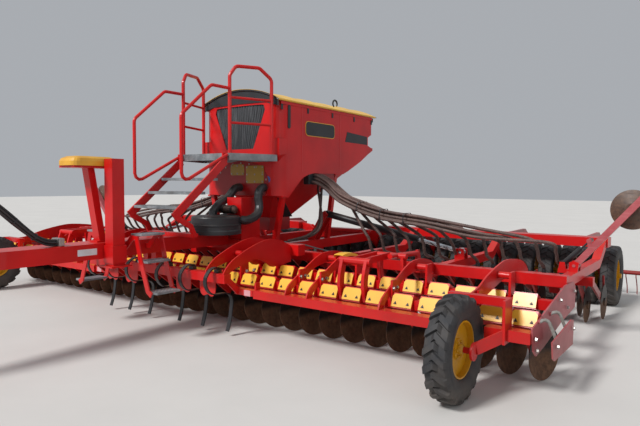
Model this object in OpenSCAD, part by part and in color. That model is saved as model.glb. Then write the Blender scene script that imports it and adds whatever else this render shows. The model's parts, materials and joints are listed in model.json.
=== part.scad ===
// Trailed pneumatic seed drill: a centre section, two wings that fold up, front discs,
// seed coulters, a row of packer wheels and a following harrow.
// Millimetres. +X is the machine's left, -Y is forward, Z is up from the ground.
// Inside the modules Y is measured from the front row of arm covers.

/* [Rows] */
// Distance between seed rows
row_pitch = 125; // [120:1:128]
// Clamps on each wing's front tool tube
wing_tools = 11; // [9:1:11]
// Clamps on the centre's front tool tube, an even number
centre_tools = 10; // [10:2:10]

/* [Front tools] */
// Height of the first tool tube's centre line
tool_z = 540; // [520:5:560]
// Height of the second tool tube above the first
tool_step = 45; // [30:1:60]
// Distance from the first tool tube to the second
tool_gap = 450; // [420:5:480]
// Side of the square tool tubes
tool_tube = 80; // [70:1:90]
// Side of the square clamp housings
clamp_side = 130; // [120:1:140]
// Slope of the clamps' front faces
clamp_slope = 65; // [58:1:72]
// Width of a clamp housing and its cover
clamp_w = 186; // [160:2:196]
// Thickness of the yellow cover plates
cover_t = 8; // [5:1:12]
// Length of a cover plate down its slope
cover_l = 112; // [90:1:124]
// Diameter of the front discs
disc_d = 430; // [400:5:450]
// Depth of the front discs' cone
disc_dish = 45; // [30:1:60]
// Thickness of the front discs
disc_t = 6; // [4:1:8]
// Steering angle of the front discs
disc_steer = 17; // [10:1:20]
// Distance from a tool tube back to its disc centres
disc_trail = 370; // [340:5:390]

/* [Beams] */
// Height of the top of the wings' front beam
front_top = 510; // [495:1:520]
// Height of the front beam
front_h = 82; // [74:1:92]
// Depth of the front beam
front_d = 100; // [80:1:110]
// Distance of the front beam ahead of the first tool tube
front_gap = 200; // [190:1:215]
// Side of the square main beam
main_side = 100; // [90:1:110]
// Height of the top of the main beam
main_top = 770; // [755:1:785]
// Distance of the main beam behind the first tool tube
main_gap = 880; // [870:1:900]
// Height of the top of the rear beam
rear_top = 912; // [900:1:920]
// Height of the rear beam
rear_h = 115; // [100:1:120]
// Depth of the rear beam
rear_d = 230; // [200:1:240]
// Thickness of the welded plates
plate_t = 14; // [10:1:18]
// Height of the arches' crown over the front beam
arch_rise = 345; // [330:1:350]
// Depth of the arch plates
arch_depth = 108; // [90:1:125]

/* [Wing fold] */
// Distance of the fold pins from the centre line
fold_x = 700; // [690:1:710]
// Height of the fold pins
fold_z = 820; // [815:1:830]
// Diameter of the fold pins
fold_pin = 50; // [40:1:60]

/* [Wheels] */
// Outer diameter of the tyres
wheel_d = 770; // [740:5:800]
// Width of a tyre
wheel_w = 186; // [170:1:196]
// Diameter of the rims
rim_d = 410; // [390:1:430]
// Distance of the packer axle behind the first tool tube
axle_gap = 3860; // [3840:5:3890]
// Diameter of the packer axle
axle_d = 60; // [50:1:70]

/* [Coulters] */
// Diameter of the seed coulter discs
seed_disc_d = 400; // [380:5:420]
// Distance of the coulter beam behind the first tool tube
seed_gap = 2060; // [2040:5:2090]
// Distance from the coulter beam back to the first row of discs
seed_trail = 560; // [540:5:590]
// Distance between the two rows of coulter discs
seed_stagger = 290; // [270:5:310]

/* [Hopper] */
// Outer width of the hopper
hopper_w = 1320; // [1280:10:1340]
// Distance of the hopper's front behind the first tool tube
hopper_gap = 960; // [950:5:980]
// Length of the hopper
hopper_l = 2200; // [2150:10:2250]
// Height of the hopper's top edge
hopper_top = 2570; // [2500:10:2620]
// Thickness of the hopper's walls
hopper_t = 8; // [5:1:12]
// Rise of the cover above the hopper's edge
cover_rise = 165; // [140:5:190]
// Thickness of the cover
tarp_t = 12; // [8:1:16]

/* [Drawbar] */
// Width of the drawbar beam
drawbar_w = 300; // [260:10:320]
// Height of the drawbar beam
drawbar_h = 150; // [130:5:170]
// Height of the drawbar's underside
drawbar_z = 810; // [790:5:830]
// Distance of the hitch eye ahead of the first tool tube
hitch_gap = 3450; // [3300:10:3600]
// Diameter of the hole in the hitch eye
eye_bore = 50; // [40:1:60]

/* [Harrow] */
// Distance of the harrow tube behind the packer axle
harrow_gap = 800; // [780:5:830]
// Diameter of the harrow tines
tine_d = 12; // [10:1:14]

/* [Hidden] */
$fn = 32;
SIDES = ["left", "right"];
WING_PARTS = ["wing_frame", "tool_tubes", "covers", "discs", "coulter_arms", "coulter_discs",
    "end_plates", "harrow", "front_tyre", "front_rim", "packer_tyres", "packer_rims",
    "marker", "marker_cylinder", "fold_barrel", "fold_rod", "seed_hoses"];
CENTRE_PARTS = ["drawbar", "hitch_eye", "centre_frame", "centre_tool_tubes", "centre_covers",
    "centre_discs", "front_board", "spring_tines", "centre_coulter_arms",
    "centre_coulter_discs", "centre_harrow", "hopper", "hopper_net", "hopper_cover", "metering_unit", "fan",
    "fan_tower", "platform", "stair_rails", "control_post", "control_cover",
    "hydraulic_hoses", "parking_stand", "centre_packer_tyres", "centre_packer_rims"];

red = [0.72, 0.05, 0.05];
dark_red = [0.45, 0.04, 0.04];
pink_red = [0.62, 0.22, 0.22];
yellow = [0.93, 0.72, 0.12];
mustard = [0.85, 0.62, 0.02];
rust = [0.24, 0.15, 0.10];
black = [0.05, 0.05, 0.05];
grey = [0.50, 0.52, 0.54];
steel = [0.6, 0.6, 0.6];
hose_brown = [0.22, 0.17, 0.16];

disc_pitch = 2 * row_pitch;
gap = 0.3;
clear = 5;
run_fit = 0.05;

y_row1 = 90;
y_row2 = y_row1 + tool_gap;
y_front = y_row1 - front_gap;
y_main = y_row1 + main_gap;
y_axle = y_row1 + axle_gap;
y_rear = y_axle - 500;
y_seed = y_row1 + seed_gap;
y_hopper = y_row1 + hopper_gap;
y_hitch = y_row1 - hitch_gap;
y_harrow = y_axle + harrow_gap;
y_tine_end = y_harrow + 190;
eye_r = 70;
y_shift = -(y_hitch - eye_r + y_tine_end) / 2;

// Outermost place of the centre's front tools, and the first and last of a wing's
x_centre = disc_pitch * (centre_tools - 1) / 2;
x_wing = x_centre + disc_pitch;
x_wing_end = x_wing + disc_pitch * (wing_tools - 1);
x_edge = x_wing_end + disc_pitch / 2;

module box(x0, x1, y0, y1, z0, z1) {
    translate([x0, y0, z0])
        cube([x1 - x0, y1 - y0, z1 - z0]);
}

// Round bar between two points
module rod(p, q, d) {
    v = q - p;
    translate(p)
        rotate([0, acos(v.z / norm(v)), atan2(v.y, v.x)])
            cylinder(d = d, h = norm(v));
}

// Flat bar between two points: w across, h in the upright plane
module strut(p, q, w, h) {
    v = q - p;
    translate(p)
        rotate([0, acos(v.z / norm(v)), atan2(v.y, v.x)])
            translate([-h / 2, -w / 2, 0])
                cube([h, w, norm(v)]);
}

function unit(v) = v / norm(v);

// Route through several points with each corner rounded to the radius r
function corner(p, a, b, r, n) =
    let (turn = acos(a * b), w = unit(b - (b * a) * a), c = p - r * tan(turn / 2) * a + r * w)
    [for (k = [0:n]) c + r * (sin(turn * k / n) * a - cos(turn * k / n) * w)];

function bend_route(points, r, n = 3) =
    let (last = len(points) - 1,
        dirs = [for (i = [0:last - 1]) unit(points[i + 1] - points[i])])
    concat([points[0]],
        [for (i = [1:1:last - 1]) for (q = corner(points[i], dirs[i - 1], dirs[i], r, n)) q],
        [points[last]]);

// Smooth route through chosen points, with n steps between each two
function curve_at(p, i, t) =
    let (a = p[max(i - 1, 0)], b = p[i], c = p[i + 1], e = p[min(i + 2, len(p) - 1)])
    0.5 * (2 * b + (c - a) * t + (2 * a - 5 * b + 4 * c - e) * t * t
        + (3 * b - a - 3 * c + e) * t * t * t);

function curve(p, n) = concat(
    [for (i = [0:len(p) - 2]) for (k = [0:n - 1]) curve_at(p, i, k / n)], [p[len(p) - 1]]);

// Outline of a strip of width d along a flat route of [y, z] points
function ribbon(p, d) =
    let (m = len(p) - 1,
        n = [for (i = [0:m]) let (t = unit(p[min(i + 1, m)] - p[max(i - 1, 0)])) [-t.y, t.x]])
    concat([for (i = [0:m]) p[i] + d / 2 * n[i]], [for (i = [m:-1:0]) p[i] - d / 2 * n[i]]);

// Hose: one closed tube swept along a route; ref is a direction that the route never takes
module hose(route, d, sides = 8, ref = [0, 0, 1]) {
    m = len(route);
    dirs = [for (i = [0:m - 1]) unit(route[min(i + 1, m - 1)] - route[max(i - 1, 0)])];
    rings = [for (i = [0:m - 1])
        let (h = unit(cross(dirs[i], ref)), v = cross(h, dirs[i]))
        for (k = [0:sides - 1])
            route[i] + d / 2 * (cos(360 * k / sides) * h + sin(360 * k / sides) * v)];
    walls = [for (i = [0:m - 2]) for (k = [0:sides - 1])
        [i * sides + k, i * sides + (k + 1) % sides,
            (i + 1) * sides + (k + 1) % sides, (i + 1) * sides + k]];
    polyhedron(rings, concat(walls, [[for (k = [sides - 1:-1:0]) k]],
        [[for (k = [0:sides - 1]) (m - 1) * sides + k]]));
}

// Plate that stands across X: its outline is given in Y and Z
module plate_x(x, t, outline) {
    translate([x - t / 2, 0, 0])
        rotate([90, 0, 90])
            linear_extrude(t)
                polygon(outline);
}

// Plate that stands across Y: its outline is given in X and Z
module plate_y(y, t, outline) {
    translate([0, y + t / 2, 0])
        rotate([90, 0, 0])
            linear_extrude(t)
                polygon(outline);
}

// Cylinder along X or along Y
module pin_x(x0, x1, y, z, d) {
    translate([x0, y, z])
        rotate([0, 90, 0])
            cylinder(d = d, h = x1 - x0);
}

module pin_y(x, y0, y1, z, d) {
    translate([x, y0, z])
        rotate([-90, 0, 0])
            cylinder(d = d, h = y1 - y0);
}

module both() {
    children();
    mirror([1, 0, 0])
        children();
}

module side(s) {
    if (s == "left")
        children();
    else
        mirror([1, 0, 0])
            children();
}

function arc(c, r, a0, a1, n = 10) =
    [for (i = [0:n]) c + r * [cos(a0 + (a1 - a0) * i / n), sin(a0 + (a1 - a0) * i / n)]];

// Front tools: clamps on a square tube, each with a trailing arm and a conical disc

hub_z = disc_d / 2;
hub_l = 70;

// One clamp with its arm and hub; steer is 1 or -1
module tool_arm(x, y, z, steer) {
    translate([x - clamp_w / 2, y, z])
        rotate([clamp_slope, 0, 0])
            translate([0, -clamp_side / 2, -clamp_side / 2])
                cube([clamp_w, clamp_side, clamp_side]);
    translate([x, y + disc_trail, hub_z])
        rotate([0, 0, steer * disc_steer])
            pin_x(-hub_l - gap, -gap, 0, 0, 70);
    plate_x(x - 40, 36, ribbon([[y + 30, z - 60], [y + disc_trail - 10, hub_z + 5]], 60));
}

module tool_disc(x, y, steer) {
    translate([x, y + disc_trail, hub_z])
        rotate([0, 0, steer * disc_steer])
            rotate([0, 90, 0])
                rotate_extrude($fn = 48)
                    polygon([[0, 0], [75, 0], [disc_d / 2, disc_dish],
                        [disc_d / 2, disc_dish + disc_t], [75, disc_t], [0, disc_t]]);
}

// Yellow plate on the clamp's upper front face
module tool_cover(x, y, z) {
    chamfer = 20;
    translate([x, y, z])
        rotate([clamp_slope, 0, 0])
            translate([0, 0, clamp_side / 2 + gap])
                linear_extrude(cover_t)
                    polygon([[-clamp_w / 2, -cover_l / 2], [clamp_w / 2, -cover_l / 2],
                        [clamp_w / 2, cover_l / 2 - chamfer], [clamp_w / 2 - chamfer, cover_l / 2],
                        [-clamp_w / 2 + chamfer, cover_l / 2], [-clamp_w / 2, cover_l / 2 - chamfer]]);
}

centre_row1 = [for (i = [0:centre_tools - 1]) -x_centre + disc_pitch * i];
centre_row2 = [for (i = [0:centre_tools]) -x_centre - disc_pitch / 2 + disc_pitch * i];
wing_row1 = [for (i = [0:wing_tools - 1]) x_wing + disc_pitch * i];
wing_row2 = [for (i = [0:wing_tools - 2]) x_wing + disc_pitch / 2 + disc_pitch * i];

module tool_row(places, y, z, steer, x0, x1) {
    box(x0, x1, y - tool_tube / 2, y + tool_tube / 2, z - tool_tube / 2, z + tool_tube / 2);
    for (x = places)
        tool_arm(x, y, z, steer);
}

// Hanger from an arch plate down to a tool tube; the cross pin carries it beside the arch
module tube_hanger(x, y, z, top, arch_x) {
    plate_x(x, 20, [[y - 60, z + tool_tube / 2], [y + 60, z + tool_tube / 2],
        [y + 50, top], [y - 50, top]]);
    pin_x(min(x, arch_x), max(x, arch_x), y, top - 35, 60);
}

// Arch plate: x, crown height, rear end, depth
arch_front = y_front - front_d / 2;

// Crescent from the front beam over both tool tubes to the main beam
function arch_outline() =
    let (z0 = front_top, z1 = front_top + arch_rise, d = arch_depth, y1 = y_main - main_side / 2)
    concat(curve([[arch_front, z0], [arch_front + 60, z0 + 90], [y_row1 + 60, z1 - 125],
            [y_row1 + 310, z1 - 15], [y_row2 + 90, z1], [y_row2 + 290, z1 - 35], [y1, main_top]], 3),
        curve([[y1, main_top - main_side + 10], [y_row2 + 250, z1 - d - 20],
            [y_row2, z1 - d], [y_row1 + 210, z1 - d - 35], [y_row1 + 60, z0 + 130],
            [arch_front + 120, z0 + 50], [arch_front + 85, z0]], 3));

wing_arches = [x_wing + 1.5 * disc_pitch, x_wing + 2.5 * disc_pitch, x_wing + 5.5 * disc_pitch,
    x_wing + 8.5 * disc_pitch];

// The outermost arch starts at the bridge over the wheel and ends behind the main beam
outer_arch = concat(
    curve([[y_front + 30, 725], [90, 745], [290, 812], [580, 872], [810, 890], [1180, 850],
        [1380, 770], [1450, 690], [1450, 590]], 3),
    curve([[1340, 590], [1310, 680], [1180, 735], [1000, 755], [700, 730], [400, 680], [150, 640],
        [y_front + 30, 670]], 3));

// Wing frame with its beams, arches, fold knuckles and packer arms

long_top = 700;
knuckle_w = 60;
x_beam_end = x_edge - 30;
x_long = [x_wing - 25, x_wing + 4.9 * disc_pitch, x_beam_end - 120];

module wing_frame() {
    color(red) {
        // Front beam and the short lug at its inner end
        box(x_wing - 20, wheel_x - wheel_gap, y_front - front_d / 2, y_front + front_d / 2,
            front_top - front_h, front_top);
        box(wheel_x + wheel_gap, x_beam_end, y_front - front_d / 2, y_front + front_d / 2,
            front_top - front_h, front_top);
        box(x_wing - 20, x_wing, y_front - 30, y_front + 30, front_top, front_top + 70);
        // Main beam
        box(fold_x + 130, x_beam_end, y_main - main_side / 2, y_main + main_side / 2,
            main_top - main_side, main_top);
        for (i = [0:2])
            plate_x(wing_arches[i], plate_t, arch_outline());
        plate_x(wing_arches[3], plate_t, outer_arch);
        // Rear beam
        box(fold_x + 130, x_beam_end - 60, y_rear - rear_d / 2, y_rear + rear_d / 2,
            rear_top - rear_h, rear_top);
        // Fold knuckles
        for (y = [y_main, y_rear])
            difference() {
                union() {
                    pin_y(fold_x, y - knuckle_w / 2, y + knuckle_w / 2, fold_z, fold_pin + 60);
                    plate_y(y, knuckle_w, [[fold_x, fold_z - 55], [fold_x, fold_z + 55],
                        [fold_x + 260, y == y_main ? main_top : rear_top],
                        [fold_x + 260, y == y_main ? main_top - main_side : rear_top - rear_h]]);
                }
                pin_y(fold_x, y - knuckle_w, y + knuckle_w, fold_z, fold_pin + 2 * run_fit);
            }
        // Lengthways beams from the main beam to the rear beam
        for (x = x_long) {
            box(x - 45, x + 45, y_main + main_side / 2, y_rear - 500, long_top - 100, long_top);
            plate_x(x, 90, [[y_rear - 500, long_top - 100], [y_rear - rear_d / 2, rear_top - rear_h],
                [y_rear - rear_d / 2, rear_top - 10], [y_rear - 500, long_top]]);
        }
        // Coulter beam under the lengthways beams
        box(x_wing - 100, x_beam_end, y_seed - 45, y_seed + 45, long_top - 190, long_top - 100);
        // Fork for the fold cylinder's rod
        for (y = [-1, 1])
            difference() {
                plate_y(y_cyl + y * 50, 20, [[rod_pin.x - 60, long_top], [rod_pin.x + 60, long_top],
                    [rod_pin.x + 45, rod_pin.y + 40], [rod_pin.x - 45, rod_pin.y + 40]]);
                pin_y(rod_pin.x, y_cyl - 100, y_cyl + 100, rod_pin.y, cyl_pin + 2);
            }
        // Packer arms between the wheels
        for (x = [x_wing + disc_pitch / 2, x_wing + 4.5 * disc_pitch, x_wing_end - disc_pitch / 2])
            packer_arm(x);
        wheel_carrier();
        marker_base();
    }
}

// Arm plate between two packer wheels, with the axle's bearing
module packer_arm(x) {
    z0 = rear_top - rear_h;
    difference() {
        union() {
            plate_x(x, 30, [[y_rear - 80, z0], [y_rear + 90, z0], [y_axle + 60, wheel_d / 2 + 20],
                [y_axle + 40, wheel_d / 2 - 50], [y_axle - 40, wheel_d / 2 - 50]]);
            pin_x(x - 15, x + 15, y_axle, wheel_d / 2, axle_d + 70);
        }
        pin_x(x - 30, x + 30, y_axle, wheel_d / 2, axle_d + 2 * run_fit);
    }
}

// Front support wheel: place, and the arm that comes round its outside
wheel_x = 3520;
wheel_y = y_front - 290;
wheel_gap = wheel_w / 2 + 30;
bridge_z = 665;
stub_d = 45;

module wheel_carrier() {
    x_arm = wheel_x + wheel_w / 2 + 45;
    z0 = wheel_d / 2;
    // Bridge over the wheel between two uprights on the front beam
    box(wheel_x - wheel_gap - 60, x_arm + 150, y_front - 5, y_front + 70, bridge_z, bridge_z + 60);
    box(wheel_x - wheel_gap - 60, wheel_x - wheel_gap, y_front - 5, y_front + 45, front_top, bridge_z);
    // Upright bracket, the cranked arm and the stub axle
    box(x_arm + 130, x_arm + 150, y_front - front_d / 2 - 40, y_front + 70, front_top - front_h - 20,
        bridge_z + 60);
    strut([x_arm + 140, y_front - front_d / 2 - 20, 470], [x_arm + 6, wheel_y + 30, z0 + 15], 14, 90);
    pin_x(x_arm - 8, x_arm + 8, wheel_y, z0, 130);
    pin_x(wheel_x - 40, x_arm, wheel_y, z0, stub_d);
}

// Marker arm's bracket at the wing's outer end
marker_x = x_long[2] + 10;
marker_y = 1800;
marker_z = long_top + 60;
marker_pin = 30;
marker_cyl_y = marker_y + 120;
// Foot and eye of the marker's cylinder in X and Z
marker_base = [x_long[2] - 130, long_top + 45];
marker_a = 50;
marker_l = 900;
marker_eye = [marker_x, marker_z] + 260 * [cos(marker_a), sin(marker_a)]
    + 70 * [-sin(marker_a), cos(marker_a)];

module marker_base() {
    for (y = [-1, 1])
        difference() {
            plate_y(marker_y + y * 65, 16, [[marker_x - 50, long_top], [marker_x + 35, long_top],
                [marker_x + 45, marker_z + 30], [marker_x, marker_z + 45],
                [marker_x - 45, marker_z + 30]]);
            pin_y(marker_x, marker_y - 100, marker_y + 100, marker_z, marker_pin + 2 * run_fit);
        }
    // Ledge and ears of the marker's cylinder
    box(marker_base.x - 40, x_long[2] - 45, marker_cyl_y - 50, marker_cyl_y + 50, long_top - 40, long_top);
    for (y = [-1, 1])
        plate_y(marker_cyl_y + y * 42, 12, [[marker_base.x - 35, long_top], [marker_base.x + 35, long_top],
            [marker_base.x + 25, marker_base.y + 25], [marker_base.x - 25, marker_base.y + 25]]);
    pin_y(marker_base.x, marker_cyl_y - 42, marker_cyl_y + 42, marker_base.y, marker_pin);
}

// Levers and cross tubes that set the depth of both tool tubes, with their cylinder
module depth_linkage() {
    z1 = tool_z + 320;
    x1 = x_wing + 3.5 * disc_pitch;
    x2 = x1 + disc_pitch;
    for (x = [x1, x2])
        plate_x(x, 30, ribbon(curve([[y_row1 - 20, tool_z - 20], [y_row1 - 55, tool_z + 90],
            [y_row1 - 50, tool_z + 200], [y_row1 - 10, z1]], 3), 70));
    pin_x(x1 - 35, x2 + 35, y_row1 - 10, z1, 64);
    for (x = [x1 + disc_pitch / 2, x2 + disc_pitch / 2])
        plate_x(x, 30, ribbon([[y_row2 + 20, tool_z + tool_step], [y_row2 - 10, tool_z + 180],
            [y_row2 - 20, z1 + 15]], 66));
    pin_x(x1 + disc_pitch / 2 - 35, x2 + disc_pitch / 2 + 35, y_row2 - 20, z1 + 15, 56);
    plate_x(x1 + disc_pitch / 2 - 35, 24, ribbon([[y_row1 - 10, z1], [y_row2 - 20, z1 + 15]], 60));
    plate_x(x2 + disc_pitch / 2 - 150, 24, ribbon([[y_row1 - 10, z1], [y_row2 - 20, z1 + 15]], 60));
    // Depth cylinder and its bracket on the main beam
    rod([x2 + 60, y_row2 - 160, z1 + 25], [x2 + 60, y_main - 35, main_top + 92], 50);
    plate_x(x2 + 60, 24, [[y_main - 45, main_top + gap], [y_main + 45, main_top + gap],
        [y_main, main_top + 125], [y_main - 45, main_top + 125]]);
}

// Tool tubes of a wing with clamps, arms and hangers
module wing_tool_tubes() {
    x1 = x_beam_end;
    color(red) {
        tool_row(wing_row1, y_row1, tool_z, -1, x_wing - clamp_w / 2, x1);
        tool_row(wing_row2, y_row2, tool_z + tool_step, 1, x_wing + disc_pitch / 2 - clamp_w / 2, x1);
        depth_linkage();
        for (x = wing_arches) {
            tube_hanger(x + plate_t / 2 + 10, y_row1, tool_z, tool_z + 190, x + plate_t / 2);
            tube_hanger(x + disc_pitch / 2, y_row2, tool_z + tool_step, front_top + arch_rise - 30, x + plate_t / 2);
        }
    }
}

module wing_covers() {
    color(yellow) {
        for (x = wing_row1)
            tool_cover(x, y_row1, tool_z);
        for (x = wing_row2)
            tool_cover(x, y_row2, tool_z + tool_step);
    }
}

module wing_discs() {
    color(rust) {
        for (x = wing_row1)
            tool_disc(x, y_row1, -1);
        for (x = wing_row2)
            tool_disc(x, y_row2, 1);
    }
}

// Seed coulters: a trailing arm, a boot with its seed tube and a flat disc

seed_tilt = 6;
seed_z = seed_disc_d / 2;
coulter_z = long_top - 145;
wing_seeds = [for (i = [0:2 * wing_tools - 1]) x_wing - row_pitch / 2 + row_pitch * i];
centre_seeds = [for (i = [0:2 * centre_tools - 1]) -x_centre - row_pitch / 2 + row_pitch * i];

function seed_y(i) = y_seed + seed_trail + (i % 2 == 0 ? 0 : seed_stagger);

module coulter_arm(x, y) {
    plate_x(x - 18, 24, ribbon([[y_seed + 45 + gap, coulter_z], [y_seed + 80, coulter_z],
        [y_seed + 150, coulter_z - 25], [y - 10, seed_z + 20]], 70));
    pin_x(x - 30, x - 3.5, y, seed_z, 60);
    // Boot and seed tube behind the arm
    plate_x(x - 18, 12, [[y + 5, seed_z + 60], [y + 120, seed_z + 40], [y + 150, 60], [y + 60, 60]]);
    rod([x - 18, y + 95, seed_z + 40], [x - 18, y + 40, seed_z + 300], 26);
}

module coulter_disc(x, y) {
    pin_x(x - 3 - gap, x + 3 - gap, y, seed_z, seed_disc_d);
    pin_x(x + 3 - gap, x + 16, y, seed_z, 90);
}

module wing_coulter_arms() {
    color(dark_red)
        for (i = [0:len(wing_seeds) - 1])
            coulter_arm(wing_seeds[i], seed_y(i));
}

module wing_coulter_discs() {
    color(steel)
        for (i = [0:len(wing_seeds) - 1])
            coulter_disc(wing_seeds[i], seed_y(i));
}

// Side plates beside the front discs and beside the coulters
module wing_end_plates() {
    x = x_beam_end + 6;
    color(pink_red) {
        plate_x(x + gap, 12, [[-150, 540], [-100, 370], [-30, 320], [250, 350], [700, 420],
            [1220, 460], [1220, 640], [1150, 700], [830, 710]]);
        plate_x(x + 120, 10, [[-80, 450], [-50, 330], [0, 300], [580, 290], [590, 480], [510, 500]]);
        for (y = [60, 380])
            hose(bend_route([[x + 5, y - 60, 560], [x + 60, y - 20, 590], [x + 115, y + 30, 420]], 40), 26);
    }
}

// Following harrow: a tube with sprung wire tines behind the wheels

harrow_z = 330;
harrow_d = 60;

module harrow(x0, x1, arms, y_root, z_root, tines) {
    color(dark_red) {
        pin_x(x0, x1, y_harrow, harrow_z, harrow_d, $fn = 12);
        bend = [y_axle + 560, z_root - 70];
        seat = [y_harrow, harrow_z] - (harrow_d / 2 + gap) * unit([y_harrow, harrow_z] - bend);
        for (x = arms)
            plate_x(x, 40, ribbon([[y_root + gap, z_root], [y_axle + 430, z_root], bend,
                (bend + seat) / 2, seat], 60));
        for (x = tines)
            plate_x(x, tine_d, ribbon([[y_harrow, harrow_z - harrow_d / 2 - gap],
                [y_harrow, harrow_z - harrow_d / 2 - 25], [y_harrow + 70, 215],
                [y_tine_end - 40, 130], [y_tine_end - tine_d / 2, 60],
                [y_tine_end - tine_d / 2, 4]], tine_d));
    }
}

module wing_harrow() {
    harrow(x_wing - 75, x_edge + 130,
        [x_wing + disc_pitch, x_wing + 5 * disc_pitch, x_wing_end - disc_pitch],
        y_rear + rear_d / 2, rear_top - 40,
        [for (i = [0:2 * wing_tools]) x_wing - row_pitch / 2 + row_pitch * i]);
}

module centre_harrow() {
    harrow(-x_centre - 95, x_centre + 95, [-disc_pitch, disc_pitch], y_rear + 60, rail_top - 55,
        [for (i = [0:2 * centre_tools - 1]) -x_centre - row_pitch / 2 + row_pitch * i]);
}

// Wheels

module tyre(x, y, r) {
    w = wheel_w / 2;
    translate([x, y, wheel_d / 2])
        rotate([0, 90, 0])
            rotate_extrude($fn = 64)
                polygon([[rim_d / 2 + 0.3, -w + 35], [rim_d / 2 + 40, -w + 8], [rim_d / 2 + 95, -w],
                    [r - 35, -w + 6], [r, -w + 22], [r, w - 22], [r - 35, w - 6],
                    [rim_d / 2 + 95, w], [rim_d / 2 + 40, w - 8], [rim_d / 2 + 0.3, w - 35]]);
}

// Dished rim; bore is the hole for a stub axle, or 0 where the axle is solid with it
module rim(x, y, bore) {
    w = wheel_w / 2 - 30;
    translate([x, y, wheel_d / 2])
        rotate([0, 90, 0])
            rotate_extrude($fn = 64)
                polygon([[bore / 2, -28], [70, -28], [75, 0], [rim_d / 2 - 22, 6],
                    [rim_d / 2 - 22, -w], [rim_d / 2, -w], [rim_d / 2, w], [rim_d / 2 - 12, w],
                    [rim_d / 2 - 12, 18], [78, 18], [75, 32], [bore / 2, 32]]);
}

// Field tyre: a lower carcass with slanted lugs from each shoulder to the middle
lug_h = 24;
lug_w = 27;
lug_l = 100;
lug_turn = 20;

module front_tyre() {
    color(black)
        union() {
            tyre(wheel_x, wheel_y, wheel_d / 2 - lug_h);
            for (s = [-1, 1])
                for (a = [0:lug_turn:359])
                    translate([wheel_x, wheel_y, wheel_d / 2])
                        rotate([a + (s > 0 ? lug_turn / 2 : 0), 0, 0])
                            translate([s * 43, 0, -wheel_d / 2])
                                rotate([0, 0, s * 38])
                                    translate([-lug_l / 2, -lug_w / 2, 0])
                                        cube([lug_l, lug_w, lug_h + 7]);
        }
}

module front_rim() {
    color(mustard)
        rim(wheel_x, wheel_y, stub_d + 2 * run_fit);
}

module packer_tyres(places) {
    color(black)
        for (x = places)
            tyre(x, y_axle, wheel_d / 2);
}

module packer_rims(places, x0, x1) {
    color(mustard) {
        pin_x(x0, x1, y_axle, wheel_d / 2, axle_d);
        for (x = places)
            rim(x, y_axle, axle_d - 10);
    }
}

// Marker: a box arm with its disc, raised as it is parked

module wing_marker() {
    p = [marker_x, marker_y, marker_z];
    dir = [cos(marker_a), 0, sin(marker_a)];
    color(pink_red) {
        pin_y(marker_x, marker_y - 50, marker_y + 50, marker_z, 80);
        strut(p + 20 * dir, p + marker_l * dir, 80, 60);
        pin_y(marker_x, marker_y - 80, marker_y + 80, marker_z, marker_pin);
        // Lug that the cylinder's eye lies against
        pin_y(marker_eye.x, marker_y + 10, marker_cyl_y - 12 - gap, marker_eye.y, 46);
        strut([marker_x, marker_y + 25, marker_z] + 200 * dir, [marker_eye.x, marker_y + 25, marker_eye.y],
            26, 36);
    }
    hub = p + (marker_l - 170) * dir;
    color(rust) {
        pin_y(hub.x, marker_y + 30, marker_y + 55, hub.z, 50);
        translate(hub + [0, 46, 0])
            rotate([-90, 0, 0])
                rotate_extrude($fn = 48)
                    polygon([[0, 0], [60, 0], [190, 40], [190, 46], [60, 6], [0, 6]]);
    }
}

module marker_cylinder() {
    foot = [marker_base.x, marker_cyl_y, marker_base.y];
    tip = [marker_eye.x, marker_cyl_y, marker_eye.y];
    dir = unit(tip - foot);
    color(black)
        difference() {
            union() {
                rod(foot + 20 * dir, foot + 240 * dir, 55);
                rod(foot + 230 * dir, tip, 20);
                pin_y(tip.x, tip.y - 12, tip.y + 12, tip.z, 46);
                pin_y(foot.x, foot.y - 30, foot.y + 30, foot.z, 60);
            }
            pin_y(foot.x, foot.y - 50, foot.y + 50, foot.z, marker_pin + 2 * run_fit);
        }
}

// Fold cylinder from the centre's bracket to the wing's fork; points are X and Z

y_cyl = 2000;
base_pin = [710, 1150];
rod_pin = [x_long[1], long_top + 80];
cyl_pin = 40;
cyl_d = 90;
rod_d = 50;
barrel_l = 1380;
cyl_dir = [rod_pin.x - base_pin.x, 0, rod_pin.y - base_pin.y] / norm(rod_pin - base_pin);
base3 = [base_pin.x, y_cyl, base_pin.y];
rod3 = [rod_pin.x, y_cyl, rod_pin.y];

module fold_barrel() {
    color(black)
        difference() {
            union() {
                rod(base3 + 30 * cyl_dir, base3 + barrel_l * cyl_dir, cyl_d);
                pin_y(base_pin.x, y_cyl - 35, y_cyl + 35, base_pin.y, 90);
            }
            pin_y(base_pin.x, y_cyl - 60, y_cyl + 60, base_pin.y, cyl_pin + 2 * run_fit);
            rod(base3 + 150 * cyl_dir, base3 + (barrel_l + 10) * cyl_dir, rod_d + 2 * run_fit);
        }
}

module fold_rod() {
    color(steel)
        difference() {
            union() {
                rod(base3 + 900 * cyl_dir, rod3 - 20 * cyl_dir, rod_d);
                pin_y(rod_pin.x, y_cyl - 35, y_cyl + 35, rod_pin.y, 85);
            }
            pin_y(rod_pin.x, y_cyl - 60, y_cyl + 60, rod_pin.y, cyl_pin + 2);
        }
}

// Centre frame

rail_x = 480;
rail_top = 790;
cross_y = 760;
centre_arches = [x_centre - disc_pitch, x_centre];
board_y = -300;
board_top = 665;

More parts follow.
